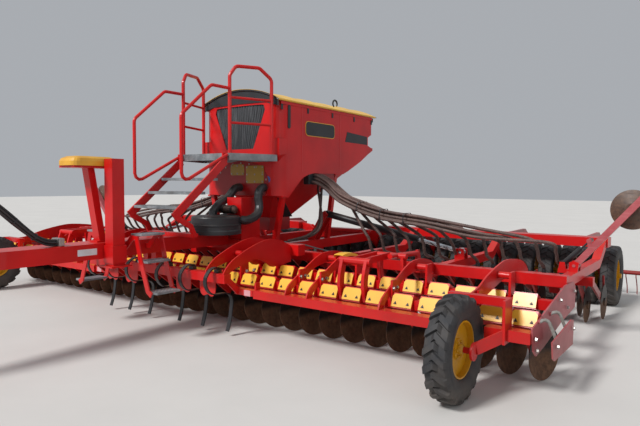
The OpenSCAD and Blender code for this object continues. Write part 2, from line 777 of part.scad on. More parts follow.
function centre_arch_outline() =
    concat(curve([[board_y - 40, board_top], [board_y, board_top + 55], [board_y + 90, board_top + 125],
            [board_y + 220, board_top + 185], [y_row1 - 20, 905], [y_row1 + 160, 950],
            [y_row1 + 310, 958], [y_row1 + 470, 920], [cross_y - 60, rail_top + 60]], 3),
        curve([[cross_y - 60, rail_top - 110], [y_row1 + 310, 655], [y_row1 + 210, 700],
            [y_row1 + 110, 750], [y_row1 + 20, 768], [y_row1 - 80, 745], [board_y + 130, board_top + 40],
            [board_y + 45, board_top]], 3));

module centre_frame() {
    color(red) {
        // Side rails and cross members
        both()
            box(rail_x - 50, rail_x + 50, cross_y - 60, y_rear + rear_d / 2, rail_top - 120, rail_top);
        box(-x_centre - 110, x_centre + 110, cross_y - 60, cross_y + 60, rail_top - 40, rail_top + 80);
        for (y = [y_main, y_rear])
            box(-rail_x, rail_x, y - 60, y + 60, rail_top - 110, rail_top);
        both()
            for (x = centre_arches)
                plate_x(x, plate_t, centre_arch_outline());
        // Ears and pins of the wing fold
        both()
            for (y = [y_main, y_rear]) {
                for (e = [-1, 1])
                    plate_y(y + e * (knuckle_w / 2 + clear + 10), 20,
                        [[rail_x + 50, rail_top - 120], [fold_x - 60, rail_top - 120],
                        [fold_x + 45, fold_z - 30], [fold_x + 45, fold_z + 45],
                        [fold_x - 50, fold_z + 50], [rail_x + 50, rail_top]]);
                pin_y(fold_x, y - knuckle_w / 2 - 30, y + knuckle_w / 2 + 30, fold_z, fold_pin);
            }
        // Brackets of the fold cylinders
        both() {
            for (e = [-1, 1])
                plate_y(y_cyl + e * 62, 20, [[rail_x - 50, rail_top], [rail_x + 50, rail_top],
                    [base_pin.x + 45, base_pin.y - 10], [base_pin.x, base_pin.y + 45],
                    [base_pin.x - 50, base_pin.y + 20]]);
            pin_y(base_pin.x, y_cyl - 70, y_cyl + 70, base_pin.y, cyl_pin);
        }
        // Hopper legs with their seats under the hopper's sides
        both()
            for (leg = [[y_hopper + 130, skirt_z], [y_hopper + 1260, side_z]]) {
                strut([rail_x, leg[0], rail_top - 30], [605, leg[0], leg[1] - 20], 60, 60);
                box(545, 664, leg[0] - 60, leg[0] + 60, leg[1] - 20, leg[1] - gap);
            }
        // Coulter beam and packer arms
        box(-x_centre - 90, x_centre + 90, y_seed - 45, y_seed + 45, rail_top - 280, rail_top - 190);
        both()
            box(rail_x - 30, rail_x + 30, y_seed - 40, y_seed + 40, rail_top - 195, rail_top - 110);
        for (x = [-disc_pitch * 2, 0, disc_pitch * 2])
            packer_arm(x);
        box(-disc_pitch * 2 - 15, disc_pitch * 2 + 15, y_rear - 80, y_rear + 80,
            rail_top, rear_top - rear_h + 40);
    }
}

module centre_tool_tubes() {
    color(red) {
        tool_row(centre_row1, y_row1, tool_z, -1, -x_centre - 95, x_centre + 95);
        tool_row(centre_row2, y_row2, tool_z + tool_step, 1, -x_centre - disc_pitch / 2 - 95,
            x_centre + disc_pitch / 2 + 95);
        both() {
            tube_hanger(x_centre - disc_pitch / 2, y_row1, tool_z, tool_z + 310,
                centre_arches[1] - plate_t / 2);
            tube_hanger(x_centre - disc_pitch / 2, y_row1, tool_z, tool_z + 310,
                centre_arches[0] + plate_t / 2);
            for (x = centre_arches)
                tube_hanger(x - plate_t / 2 - 10, y_row2, tool_z + tool_step, 800, x - plate_t / 2);
        }
    }
}

module centre_covers() {
    color(yellow) {
        for (x = centre_row1)
            tool_cover(x, y_row1, tool_z);
        for (x = centre_row2)
            tool_cover(x, y_row2, tool_z + tool_step);
    }
}

module centre_discs() {
    color(rust) {
        for (x = centre_row1)
            tool_disc(x, y_row1, -1);
        for (x = centre_row2)
            tool_disc(x, y_row2, 1);
    }
}

module centre_coulter_arms() {
    color(dark_red)
        for (i = [0:len(centre_seeds) - 1])
            coulter_arm(centre_seeds[i], seed_y(i));
}

module centre_coulter_discs() {
    color(steel)
        for (i = [0:len(centre_seeds) - 1])
            coulter_disc(centre_seeds[i], seed_y(i));
}

// Box beam across the front with levelling plates, and its spring tines

board_h = 90;
tine_places = [260, 630, 1000];
tine_route = curve([[board_y + 30, board_top + 38], [board_y - 20, board_top + 56],
    [board_y - 90, board_top + 38], [board_y - 150, board_top - 30], [board_y - 150, board_top - 110],
    [board_y - 100, board_top - 185], [board_y - 20, board_top - 213], [board_y + 90, board_top - 215],
    [board_y + 170, board_top - 240], [board_y + 205, board_top - 300], [board_y + 195, 260],
    [board_y + 175, 150], [board_y + 140, 50]], 2);

module front_board() {
    color(red) {
        box(-x_centre - 25, x_centre + 25, board_y - board_h / 2, board_y + board_h / 2,
            board_top - board_h, board_top - gap);
        both() {
            for (x = [450, 815])
                plate_y(board_y + board_h / 2 + 5, 10, concat([[x + 90, board_top - 20],
                    [x - 90, board_top - 20]], curve([[x - 115, board_top - 100], [x - 110, 450],
                    [x - 60, 405], [x, 425], [x + 60, 405], [x + 110, 450], [x + 115, board_top - 100]], 3)));
            // Short beam that carries on the line of the wing's front beam
            box(x_centre - 35, x_wing - 40, y_front - front_d / 2 + 15, y_front + front_d / 2 - 15,
                front_top - front_h + 15, front_top - 8);
            strut([x_centre + 5, board_y + 30, board_top - board_h + 20],
                [x_centre + 5, y_front - 20, front_top - 45], 20, 60);
        }
    }
}

module spring_tines() {
    color(black)
        both()
            for (x = tine_places) {
                box(x - 30, x + 30, board_y - 10, board_y + 40, board_top, board_top + 34);
                plate_x(x, 44, ribbon(tine_route, 12));
            }
}

// Drawbar

stand_x = drawbar_w / 2 + 80;
stand_y = -915;
stand_w = 65;

module drawbar() {
    w = drawbar_w / 2;
    color(dark_red) {
        difference() {
            translate([0, 0, drawbar_z])
                linear_extrude(drawbar_h)
                    polygon([[-w, cross_y - 60 - gap], [w, cross_y - 60 - gap], [w, -1900],
                        [60, y_hitch + 200], [-60, y_hitch + 200], [-w, -1900]]);
        }
        // Sleeve of the parking stand
        difference() {
            box(w, stand_x + stand_w + 12, stand_y - stand_w - 12, stand_y + stand_w + 12, 770, 940);
            box(stand_x - stand_w - gap, stand_x + stand_w + gap, stand_y - stand_w - gap,
                stand_y + stand_w + gap, 700, 1000);
        }
        // Posts down to the front board
        both()
            box(w - 120, w - 40, board_y - 40, board_y + 40, board_top, drawbar_z);
    }
}

module hitch_eye() {
    color(grey)
        difference() {
            union() {
                translate([0, y_hitch, drawbar_z + 40])
                    cylinder(r = eye_r, h = 60);
                box(-45, 45, y_hitch + 20, y_hitch + 200 - gap, drawbar_z + 40, drawbar_z + 100);
            }
            translate([0, y_hitch, drawbar_z])
                cylinder(d = eye_bore, h = 200);
        }
}

module parking_stand() {
    color(dark_red) {
        box(stand_x - stand_w, stand_x + stand_w, stand_y - stand_w, stand_y + stand_w, 745, 1780);
        box(stand_x - 110, stand_x + 110, stand_y - 110, stand_y + 110, 730, 745);
    }
}

// Hopper

function rounded(x, y0, y1, rf, rr) =
    concat(arc([-x + rf, y0 + rf], rf, 180, 270, 8), arc([x - rf, y0 + rf], rf, 270, 360, 8),
        arc([x - rr, y1 - rr], rr, 0, 90, 4), arc([-x + rr, y1 - rr], rr, 90, 180, 4));

corner_r = 160;
// Lower edges of the front skirt and of the sides
skirt_z = 1400;
side_z = 1690;

// Outline of the hopper's sides in Y and Z, with the notch at the rear edge
function hopper_side() =
    let (y1 = y_hopper + hopper_l)
    concat([[y_hopper - 10, hopper_top], [y1 + 25, hopper_top], [y1 + 25, 2300], [y1 - 60, 2290],
            [y1 - 140, 2250], [y1 - 140, 2130], [y1 - 60, 2105], [y1 + 25, 2095], [y1 + 25, 2085]],
        curve([[y1 - 350, 1880], [y1 - 680, 1735], [y1 - 806, side_z]], 2),
        curve([[y1 - 1484, side_z], [y1 - 1601, 1672], [y1 - 1728, 1625], [y1 - 1804, 1567],
            [y1 - 1996, skirt_z]], 2),
        [[y_hopper - 10, skirt_z]]);

// Net panel in the hopper's front, cut smaller all round by m
function net_outline(m) =
    concat([[-260 + m, 1960 + m], [260 - m, 1960 + m]],
        curve([[455 - m, 2480 - m], [440 - m, 2530 - m], [390 - m, 2550 - m], [0, 2555 - m],
            [-390 + m, 2550 - m], [-440 + m, 2530 - m], [-455 + m, 2480 - m]], 3));

module hopper_net() {
    color(black)
        plate_y(y_hopper + hopper_t + 1 + gap + 4, 8, net_outline(0));
}

module hopper() {
    w = hopper_w / 2;
    y1 = y_hopper + hopper_l;
    t = hopper_t;
    color(red)
        difference() {
            union() {
            // Side skin, cut to its outline as seen from the side
            intersection() {
                difference() {
                    translate([0, 0, 1300])
                        linear_extrude(hopper_top - 1300)
                            polygon(rounded(w, y_hopper, y1, corner_r, 60));
                    translate([0, 0, 1200])
                        linear_extrude(hopper_top)
                            polygon(rounded(w - t, y_hopper + t, y1 - t, corner_r - t, 60 - t));
                }
                plate_x(0, hopper_w + 20, hopper_side());
            }
            // Funnel floor
            difference() {
                funnel(0);
                funnel(t);
            }
            }
            plate_y(y_hopper + t / 2, 3 * t, net_outline(25));
        }
}

module funnel(t) {
    w = hopper_w / 2 - 1;
    y0 = y_hopper + 1;
    y1 = y_hopper + hopper_l - 1;
    polyhedron(
        points = [[-w + t, y0 + t, 1900], [w - t, y0 + t, 1900], [w - t, y1 - t, 2060 + t],
            [-w + t, y1 - t, 2060 + t], [-160 + t, 1450 + t, 1100 - t], [160 - t, 1450 + t, 1100 - t],
            [160 - t, 1850 - t, 1100 - t], [-160 + t, 1850 - t, 1100 - t],
            [-w + t, y0 + t, 2100 + t], [w - t, y0 + t, 2100 + t], [w - t, y1 - t, 2100 + t],
            [-w + t, y1 - t, 2100 + t]],
        faces = [[4, 5, 6, 7], [0, 1, 5, 4], [1, 2, 6, 5], [2, 3, 7, 6], [3, 0, 4, 7],
            [0, 8, 9, 1], [1, 9, 10, 2], [2, 10, 11, 3], [3, 11, 8, 0], [11, 10, 9, 8]]);
}

module hopper_cover() {
    w = hopper_w / 2 + 20;
    y1 = y_hopper + hopper_l + 40;
    r = (w * w + cover_rise * cover_rise) / (2 * cover_rise);
    a = asin(w / r);
    color(yellow)
        translate([0, y1, hopper_top + gap - sqrt(pow(r - tarp_t, 2) - pow(hopper_w / 2, 2))])
            rotate([90, 0, 0])
                linear_extrude(y1 - y_hopper + 30)
                    polygon(concat(arc([0, 0], r, 90 - a, 90 + a, 24),
                        arc([0, 0], r - tarp_t, 90 + a, 90 - a, 24)));
}

module metering_unit() {
    color(dark_red) {
        box(-170, 170, 1440, 1860, 930, 1100 - gap);
        both()
            box(560, 650, y_hopper + 800, y_hopper + 1190, side_z - 150, side_z - gap);
    }
}

fan_x = 200;
fan_y = 450;
fan_z = drawbar_z + drawbar_h + gap;
fan_d = 590;

module fan() {
    color(black) {
        translate([fan_x, fan_y, fan_z])
            rotate_extrude($fn = 64)
                polygon([[0, 0], [fan_d / 2, 0], [fan_d / 2, 40], [fan_d / 2 - 8, 55],
                    [fan_d / 2 - 8, 95], [fan_d / 2 + 2, 100], [fan_d / 2 + 2, 112],
                    [fan_d / 2 - 8, 118], [fan_d / 2 - 8, 190], [fan_d / 2 - 15, 203],
                    [fan_d / 2 - 30, 210], [0, 210]]);
        // Air ducts up to the hopper's front
        hose(concat([[30, 560, fan_z + 210 + gap]],
            curve([[30, 560, fan_z + 250], [25, 670, 1300], [10, 830, 1370], [15, 900, 1440],
                [20, 950, 1490], [20, y_hopper - 50, 1500]], 2),
            [[20, y_hopper - gap, 1500]]), 104, 10, [1, 0, 0]);
        hose(concat(curve([[417.3, 641.7, 1125], [453, 673, 1115], [470, 760, 1130], [470, 870, 1180],
                [445, 930, 1270], [430, 930, 1370], [430, 950, 1460], [430, y_hopper - 50, 1500]], 2),
            [[430, y_hopper - gap, 1500]]), 104, 10, [1, 0, 0]);
    }
}

module fan_tower() {
    color(red)
        box(80, 320, fan_y + fan_d / 2 + clear, cross_y + 320, rail_top + 80 + gap, 1380);
}

// Platform, stairs and rails

deck_z = 1870;
stair_x = 380;
stair_foot_z = drawbar_z + drawbar_h + gap;

function deck_outline(m) = [[-420 + m, 450 + m], [420 - m, 450 + m], [630 - m, 975 + m],
    [630 - m, y_hopper - gap - m], [-630 + m, y_hopper - gap - m], [-630 + m, 975 + m]];

module platform() {
    color(grey) {
        difference() {
            translate([0, 0, deck_z - 50])
                linear_extrude(80)
                    polygon(deck_outline(0));
            translate([0, 0, deck_z - 51])
                linear_extrude(51)
                    polygon(deck_outline(6));
        }
        for (i = [0:2])
            box(-stair_x + 10 + gap, stair_x - 10 - gap, -270 + 190 * i, -60 + 190 * i,
                1270 + 155 * i, 1300 + 155 * i);
        // Treads of the side steps
        both() {
            box(300, 470, -783 + gap, -507 - gap, 1030, 1050);
            box(400, 560, -783 + gap, -507 - gap, 770, 790);
            box(540, 700, -783 + gap, -507 - gap, 480, 500);
        }
    }
}

module stair_rails() {
    color(red)
        both() {
            strut([stair_x, -320, 1190], [stair_x, 430, 1812], 20, 90);
            box(stair_x - 10, stair_x + 10, 380, 450 - gap, 1760, deck_z + 30);
            plate_x(stair_x, 20, ribbon([[-290, 1190], [-90, 1080], [-35, stair_foot_z + 10]], 60));
            box(-1, stair_x + 10, -75, 5, stair_foot_z, stair_foot_z + 40);
            hose(bend_route([[400, 435, 1880], [400, -230, 1545], [400, -230, 2270], [400, 200, 2640],
                [400, 470, 2640]], 70), 38, 10, [1, 0, 0]);
            hose(bend_route([[400, 480, deck_z + 30 + gap], [400, 480, 2790], [430, 550, 2900],
                [540, 830, 2910], [595, 985, 2790], [595, 985, deck_z + 30 + gap]], 70), 42, 10, [1, 0, 0]);
            for (z = [2250, 2540])
                rod([400, 480, z], [595, 985, z], 30);
            // Cranked plates of the side steps
            for (y = [-790, -500])
                plate_y(y, 14, ribbon([[drawbar_w / 2 + gap, 900], [210, 900], [330, 1010], [400, 1010],
                    [460, 790], [570, 500], [620, 470]], 56));
        }
}

cap_w = 145;

module control_post() {
    color(red) {
        box(-60, 60, -1000, -860, drawbar_z + drawbar_h + gap, drawbar_z + drawbar_h + 16);
        strut([0, -930, drawbar_z + drawbar_h + 10], [0, -1050, 1700], 100, 70);
        box(20 - cap_w, cap_w - 20, -1270, -810, 1690, 1710);
    }
}

module control_cover() {
    outline = concat(arc([cap_w - 70, 180], 70, 0, 90, 4), arc([70 - cap_w, 180], 70, 90, 180, 4),
        arc([70 - cap_w, -180], 70, 180, 270, 4), arc([cap_w - 70, -180], 70, 270, 360, 4));
    color(yellow)
        translate([0, -1040, 1710 + gap]) {
            linear_extrude(42)
                polygon(outline);
            translate([0, 0, 42])
                linear_extrude(28, scale = 0.93)
                    polygon(outline);
            translate([0, 0, 70])
                linear_extrude(20, scale = 0.8)
                    polygon(0.93 * outline);
        }
}

module hydraulic_hoses() {
    color(black)
        hose(curve([[60, -1400, drawbar_z + drawbar_h + 30.3], [60, -1600, 1050], [60, -2000, 1400], [60, -2200, 1500], [60, -2500, 1300],
            [60, -2800, 1000]], 5), 60);
}

// Seed hoses of one side: where each one ends on the coulter beam, and its place in the bundle
seed_ends = [[1500, 44, 0], [1900, 44, 44], [2300, 0, 0], [2750, 0, 44], [3150, -44, 0],
    [3500, -44, 44]];
seed_spine = [[700, 1890, 1590], [830, 1870, 1480], [1120, 1800, 1310], [1670, 1750, 1150],
    [2340, 1700, 1075], [2920, 1700, 990]];

function seed_route(e) =
    let (start = [650 + gap, 1890 + 1.2 * e[1], 1590 + e[2]])
    concat([start], curve(concat(
        [[700, start.y, start.z]],
        [for (p = seed_spine) if (p.x > 700 && p.x < e[0] - 200) p + [0, e[1], e[2]]],
        [[e[0] - 60, 1790 + e[1] / 2, 970], [e[0], 1850, 880], [e[0], 1930, 770],
            [e[0], y_seed - 70, 700], [e[0], y_seed, 650]]), 3),
        [[e[0], y_seed, long_top - 100 + gap]]);

module seed_hoses() {
    color(hose_brown)
        for (e = seed_ends)
            hose(seed_route(e), 40, 8, [0, 1, 0]);
}

module at_rest() {
    translate([0, y_shift, 0])
        children();
}

at_rest() drawbar();
at_rest() hitch_eye();
at_rest() centre_frame();
at_rest() centre_tool_tubes();
at_rest() centre_covers();
at_rest() centre_discs();
at_rest() front_board();
at_rest() spring_tines();
at_rest() centre_coulter_arms();
at_rest() centre_coulter_discs();
at_rest() centre_harrow();
at_rest() hopper();
at_rest() hopper_net();
at_rest() hopper_cover();
at_rest() metering_unit();
at_rest() fan();
at_rest() fan_tower();
at_rest() platform();
at_rest() stair_rails();
at_rest() control_post();
at_rest() control_cover();
at_rest() hydraulic_hoses();
at_rest() parking_stand();
at_rest() packer_tyres(centre_row1);  // centre_packer_tyres
at_rest() packer_rims(centre_row1, -x_centre - 90, x_centre + 90);  // centre_packer_rims
at_rest() side("left") wing_frame();  // left_wing_frame
at_rest() side("left") wing_tool_tubes();  // left_tool_tubes
at_rest() side("left") wing_covers();  // left_covers
at_rest() side("left") wing_discs();  // left_discs
at_rest() side("left") wing_coulter_arms();  // left_coulter_arms
at_rest() side("left") wing_coulter_discs();  // left_coulter_discs
at_rest() side("left") wing_end_plates();  // left_end_plates
at_rest() side("left") wing_harrow();  // left_harrow
at_rest() side("left") front_tyre();  // left_front_tyre
at_rest() side("left") front_rim();  // left_front_rim
at_rest() side("left") packer_tyres(wing_row1);  // left_packer_tyres
at_rest() side("left") packer_rims(wing_row1, x_wing - 90, x_wing_end + 110);  // left_packer_rims
at_rest() side("left") wing_marker();  // left_marker
at_rest() side("left") marker_cylinder();  // left_marker_cylinder
at_rest() side("left") fold_barrel();  // left_fold_barrel
at_rest() side("left") fold_rod();  // left_fold_rod
at_rest() side("left") seed_hoses();  // left_seed_hoses
at_rest() side("right") wing_frame();  // right_wing_frame
at_rest() side("right") wing_tool_tubes();  // right_tool_tubes
at_rest() side("right") wing_covers();  // right_covers
at_rest() side("right") wing_discs();  // right_discs
at_rest() side("right") wing_coulter_arms();  // right_coulter_arms
at_rest() side("right") wing_coulter_discs();  // right_coulter_discs
at_rest() side("right") wing_end_plates();  // right_end_plates
at_rest() side("right") wing_harrow();  // right_harrow
at_rest() side("right") front_tyre();  // right_front_tyre
at_rest() side("right") front_rim();  // right_front_rim
at_rest() side("right") packer_tyres(wing_row1);  // right_packer_tyres
at_rest() side("right") packer_rims(wing_row1, x_wing - 90, x_wing_end + 110);  // right_packer_rims
at_rest() side("right") wing_marker();  // right_marker
at_rest() side("right") marker_cylinder();  // right_marker_cylinder
at_rest() side("right") fold_barrel();  // right_fold_barrel
at_rest() side("right") fold_rod();  // right_fold_rod
at_rest() side("right") seed_hoses();  // right_seed_hoses
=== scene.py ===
"""Looks of a trailed seed drill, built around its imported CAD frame.

Metres, +X left, -Y forward, Z up.
"""

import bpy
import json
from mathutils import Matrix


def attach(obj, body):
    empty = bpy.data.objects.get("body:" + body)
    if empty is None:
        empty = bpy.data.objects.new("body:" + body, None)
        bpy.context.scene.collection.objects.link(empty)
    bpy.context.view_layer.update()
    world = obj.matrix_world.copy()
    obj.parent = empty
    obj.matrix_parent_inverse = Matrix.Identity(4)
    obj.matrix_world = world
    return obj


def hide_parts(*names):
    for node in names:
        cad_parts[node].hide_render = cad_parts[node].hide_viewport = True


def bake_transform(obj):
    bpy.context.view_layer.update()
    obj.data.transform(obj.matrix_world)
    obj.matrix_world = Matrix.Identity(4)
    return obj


bl_info = {
    "name": "Seed drill",
    "version": (1, 0, 0),
    "blender": (4, 5, 0),
    "location": "3D View > Sidebar > Seed drill",
    "description": "Builds the finishes and the small pieces of a seed drill on its CAD frame",
    "category": "Object",
}

import json
import math

import bpy
import numpy as np
from mathutils import Matrix, Vector

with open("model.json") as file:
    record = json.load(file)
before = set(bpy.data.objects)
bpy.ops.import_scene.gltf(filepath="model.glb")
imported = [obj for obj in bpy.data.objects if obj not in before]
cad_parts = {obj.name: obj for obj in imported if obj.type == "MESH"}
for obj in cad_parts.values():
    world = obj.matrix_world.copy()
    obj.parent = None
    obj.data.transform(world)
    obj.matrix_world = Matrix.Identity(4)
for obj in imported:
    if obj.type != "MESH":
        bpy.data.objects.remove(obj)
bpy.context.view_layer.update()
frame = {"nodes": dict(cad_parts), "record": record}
NODES = frame["nodes"]

BASE = "centre"
SHIFT = -0.755  # the machine's own Y, measured from its front row, to the frame's Y
SIDES = {"left": 1.0, "right": -1.0}
RIB_PITCH = 0.012  # of the ribs drawn on a hose
TOOTH_PITCH = 0.042  # of the grip plate's teeth
GAP = 0.0003  # between a piece of this file and the face that it sits on


# ---------------------------------------------------------------- shader maths


class Sock:
    """One socket of a node tree. Arithmetic on it adds Math nodes."""

    def __init__(self, tree, socket):
        self.tree = tree
        self.socket = socket

    def node(self, kind, settings=None, inputs=None, out=0):
        """Adds a node, sets its settings first and then its sockets, and wraps the output."""
        made = self.tree.nodes.new(kind)
        for key, value in (settings or {}).items():
            setattr(made, key, value)
        for key, value in (inputs or {}).items():
            if isinstance(value, Sock):
                self.tree.links.new(value.socket, made.inputs[key])
            elif value is not None:
                made.inputs[key].default_value = value
        return Sock(self.tree, made.outputs[out])

    def math(self, operation, a, b=None, clamp=False):
        settings = {"operation": operation, "use_clamp": clamp}
        return self.node("ShaderNodeMath", settings, {0: a, 1: b})

    def __add__(self, other):
        return self.math("ADD", self, other)

    def __sub__(self, other):
        return self.math("SUBTRACT", self, other)

    def __rsub__(self, other):
        return self.math("SUBTRACT", other, self)

    def __mul__(self, other):
        return self.math("MULTIPLY", self, other)

    def __pow__(self, other):
        return self.math("POWER", self, other)

    def clip(self):
        """The value kept between 0 and 1."""
        return self.math("ADD", self, 0.0, clamp=True)

    def band(self, low, high):
        """0 at low, 1 at high, straight in between."""
        return ((self - low) * (1.0 / (high - low))).clip()

    def sin(self):
        return self.math("SINE", self)


def linear(red, green, blue):
    """An sRGB colour of 0 to 255 as the linear colour that Blender's sockets take."""
    made = []
    for part in (red, green, blue):
        part = part / 255.0
        made.append(part / 12.92 if part <= 0.04045 else ((part + 0.055) / 1.055) ** 2.4)
    return (*made, 1.0)


def tint(amount, a, b):
    """Colour a where amount is 0 and colour b where it is 1. Three numbers are sRGB, 0 to 255."""
    a, b = (linear(*c) if isinstance(c, tuple) and len(c) == 3 else c for c in (a, b))
    return amount.node("ShaderNodeMix", {"data_type": "RGBA"}, {0: amount, 6: a, 7: b}, out=2)


class Finish:
    """A new material with the inputs that its patterns need."""

    def __init__(self, name):
        self.material = bpy.data.materials.new(name)
        self.material.use_nodes = True
        self.tree = self.material.node_tree
        self.shader = self.tree.nodes["Principled BSDF"]
        self.root = Sock(self.tree, None)
        self.place = self.root.node("ShaderNodeTexCoord", out="Object")
        self.uv = self.root.node("ShaderNodeTexCoord", out="UV")
        self.x, self.y, self.z = self.parts(self.place)
        self.up = self.parts(self.root.node("ShaderNodeNewGeometry", out="Normal"))[2]

    def parts(self, vector):
        """The three numbers of a vector."""
        split = self.root.node("ShaderNodeSeparateXYZ", {}, {0: vector})
        return [Sock(self.tree, output) for output in split.socket.node.outputs]

    def noise(self, scale, detail=3.0, rough=0.55, stretch=None):
        """Noise of about `scale` grains a metre, drawn out along the axes by `stretch`."""
        place = self.place
        if stretch:
            place = self.root.node("ShaderNodeMapping", {}, {0: place, 3: stretch})
        return self.root.node(
            "ShaderNodeTexNoise",
            {"noise_dimensions": "3D"},
            {"Vector": place, "Scale": scale, "Detail": detail, "Roughness": rough},
        )

    def bump(self, height, strength, distance):
        return self.root.node(
            "ShaderNodeBump", {}, {"Strength": strength, "Distance": distance, "Height": height}
        )

    def set(self, **values):
        """Sets or links the shader's sockets; a name's underscores stand for spaces."""
        for key, value in values.items():
            socket = self.shader.inputs[key.replace("_", " ")]
            if isinstance(value, Sock):
                self.tree.links.new(value.socket, socket)
            else:
                socket.default_value = value
        return self.material


# ------------------------------------------------------------------- finishes


def paint(name, colour, dark, dust, soil=0.5):
    """Machine paint: slow fading, dust on what faces up, soil near the ground, small chips."""
    f = Finish(name)
    fade = f.noise(1.7, 4.0).band(0.35, 0.7)
    base = tint(fade, colour, dark)
    grit = f.noise(38.0, 5.0, 0.7)
    patches = f.noise(6.0, 4.0, 0.6)
    lying = f.up.band(0.15, 0.9) * patches.band(0.25, 0.8) * dust
    low = (0.62 - f.z).band(0.0, 0.6) * grit.band(0.38, 0.7) * soil
    streaks = f.noise(9.0, 3.0, 0.6, (1.0, 1.0, 0.12)).band(0.55, 0.8) * 0.25 * dust
    base = tint(streaks, base, (150, 118, 92))
    base = tint(lying, base, (176, 146, 118))
    base = tint(low, base, (98, 76, 58))
    chips = f.noise(55.0, 2.0, 0.5).band(0.70, 0.74) * f.noise(2.3, 2.0).band(0.5, 0.62) * 0.5
    base = tint(chips.clip(), base, (92, 70, 62))
    roughness = (lying * 0.35 + low * 0.4 + chips * 0.3 + grit * 0.10 + 0.33).clip()
    height = grit * 0.4 + f.noise(260.0, 2.0) * 0.3
    return f.set(
        Base_Color=base,
        Roughness=roughness,
        Normal=f.bump(height, 0.12, 0.0015),
        Coat_Weight=0.2,
        Coat_Roughness=0.15,
        Specular_IOR_Level=0.35,
    )


def faded_paint(name):
    """Paint bleached by sun and rubbed by soil: cloudy pink over red with scratches lengthways."""
    f = Finish(name)
    cloud = f.noise(3.2, 5.0, 0.65).band(0.3, 0.72)
    base = tint(cloud, (176, 88, 92), (148, 52, 56))
    rub = f.noise(22.0, 4.0, 0.7, (0.25, 1.0, 3.0)).band(0.52, 0.75)
    base = tint(rub * 0.5, base, (196, 122, 122))
    low = (0.5 - f.z).band(0.0, 0.35) * f.noise(30.0, 4.0, 0.7).band(0.35, 0.65)
    base = tint(low * 0.6, base, (120, 88, 68))
    # The marker's disc is soil steel, and the bars between the two end plates are grey
    behind = f.y.band(1.086, 1.087) * f.z.band(1.0, 1.01)
    grain = f.noise(26.0, 5.0, 0.7)
    brown = tint(grain.band(0.3, 0.7), (62, 44, 36), (104, 78, 60))
    out = f.x.math("ABSOLUTE", f.x)
    inside = 1.0 - out.band(END_PLATE_X + 0.094, END_PLATE_X + 0.095)
    bars = out.band(END_PLATE_X, END_PLATE_X + 0.001) * inside
    bars = bars * (1.0 - f.y.band(0.0, 0.01)) * (1.0 - f.z.band(0.9, 0.91))
    grey = tint(grain.band(0.35, 0.7), (150, 150, 146), (108, 98, 88))
    base = tint(bars, tint(behind, base, brown), grey)
    return f.set(
        Base_Color=base,
        Roughness=(rub * 0.15 + 0.5).clip(),
        Normal=f.bump(f.noise(60.0, 3.0), 0.1, 0.001),
        Coat_Weight=0.1,
    )


def soil_steel(name):
    """Soil-working steel: dark above as painted shade of the machine over it, brown with dried soil
    below, fine ring scratches.
    """
    f = Finish(name)
    grit = f.noise(26.0, 5.0, 0.7)
    fine = f.noise(120.0, 3.0, 0.6)
    line = f.z + (grit - 0.5) * 0.09
    # Painted shade: above this line the steel takes dark colours for the machine's shadow; below it
    # the steel is brown with dried soil
    soil = (0.24 - line).band(0.0, 0.05)
    dark = tint(fine.band(0.35, 0.7), (24, 20, 20), (52, 40, 35))
    brown = tint(grit.band(0.35, 0.65), (78, 53, 36), (112, 80, 56))
    return f.set(
        Base_Color=tint(soil, dark, brown),
        Metallic=((1.0 - soil) * 0.55).clip(),
        Roughness=(soil * 0.35 + fine * 0.15 + 0.42).clip(),
        Normal=f.bump(grit * 0.6 + fine * 0.4, 0.35, 0.002),
    )


def bare_steel(name, colour, rough):
    """Bright metal with a fine grain and slight staining."""
    f = Finish(name)
    stain = f.noise(14.0, 4.0, 0.6).band(0.45, 0.8)
    fine = f.noise(180.0, 2.0, 0.5, (1.0, 1.0, 0.2))
    return f.set(
        Base_Color=tint(stain * 0.5, colour, (116, 98, 82)),
        Metallic=(1.0 - stain * 0.5).clip(),
        Roughness=(fine * 0.12 + stain * 0.3 + rough).clip(),
        Normal=f.bump(fine, 0.08, 0.0006),
    )


def galvanised(name):
    """Zinc coating: small blocky spangles in two greys, dulled where feet tread."""
    f = Finish(name)
    spangle = f.root.node(
        "ShaderNodeTexVoronoi", {"feature": "F1"}, {"Vector": f.place, "Scale": 70.0}, out=1
    )
    grain = f.root.node("ShaderNodeSeparateColor", {}, {0: spangle})
    dull = f.noise(9.0, 4.0).band(0.4, 0.7)
    base = tint(grain.band(0.2, 0.8), (138, 144, 148), (172, 177, 180))
    base = tint(dull * 0.4, base, (128, 122, 112))
    return f.set(
        Base_Color=base,
        Metallic=(0.75 - dull * 0.35).clip(),
        Roughness=(grain * 0.12 + dull * 0.25 + 0.38).clip(),
        Normal=f.bump(f.noise(150.0, 2.0), 0.08, 0.0008),
    )


def rubber(name, dust):
    """Tyre rubber: charcoal with pale dust in its grain, more near the ground."""
    f = Finish(name)
    grain = f.noise(90.0, 4.0, 0.65)
    cloud = f.noise(7.0, 4.0, 0.6)
    dusty = (cloud.band(0.35, 0.75) * 0.55 + (0.3 - f.z).band(0.0, 0.3) * 0.5) * dust
    base = tint(grain.band(0.3, 0.7), (31, 32, 35), (47, 48, 52))
    return f.set(
        Base_Color=tint(dusty.clip(), base, (112, 100, 88)),
        Roughness=(grain * 0.2 + 0.62).clip(),
        Normal=f.bump(grain * 0.7 + cloud * 0.3, 0.25, 0.002),
    )


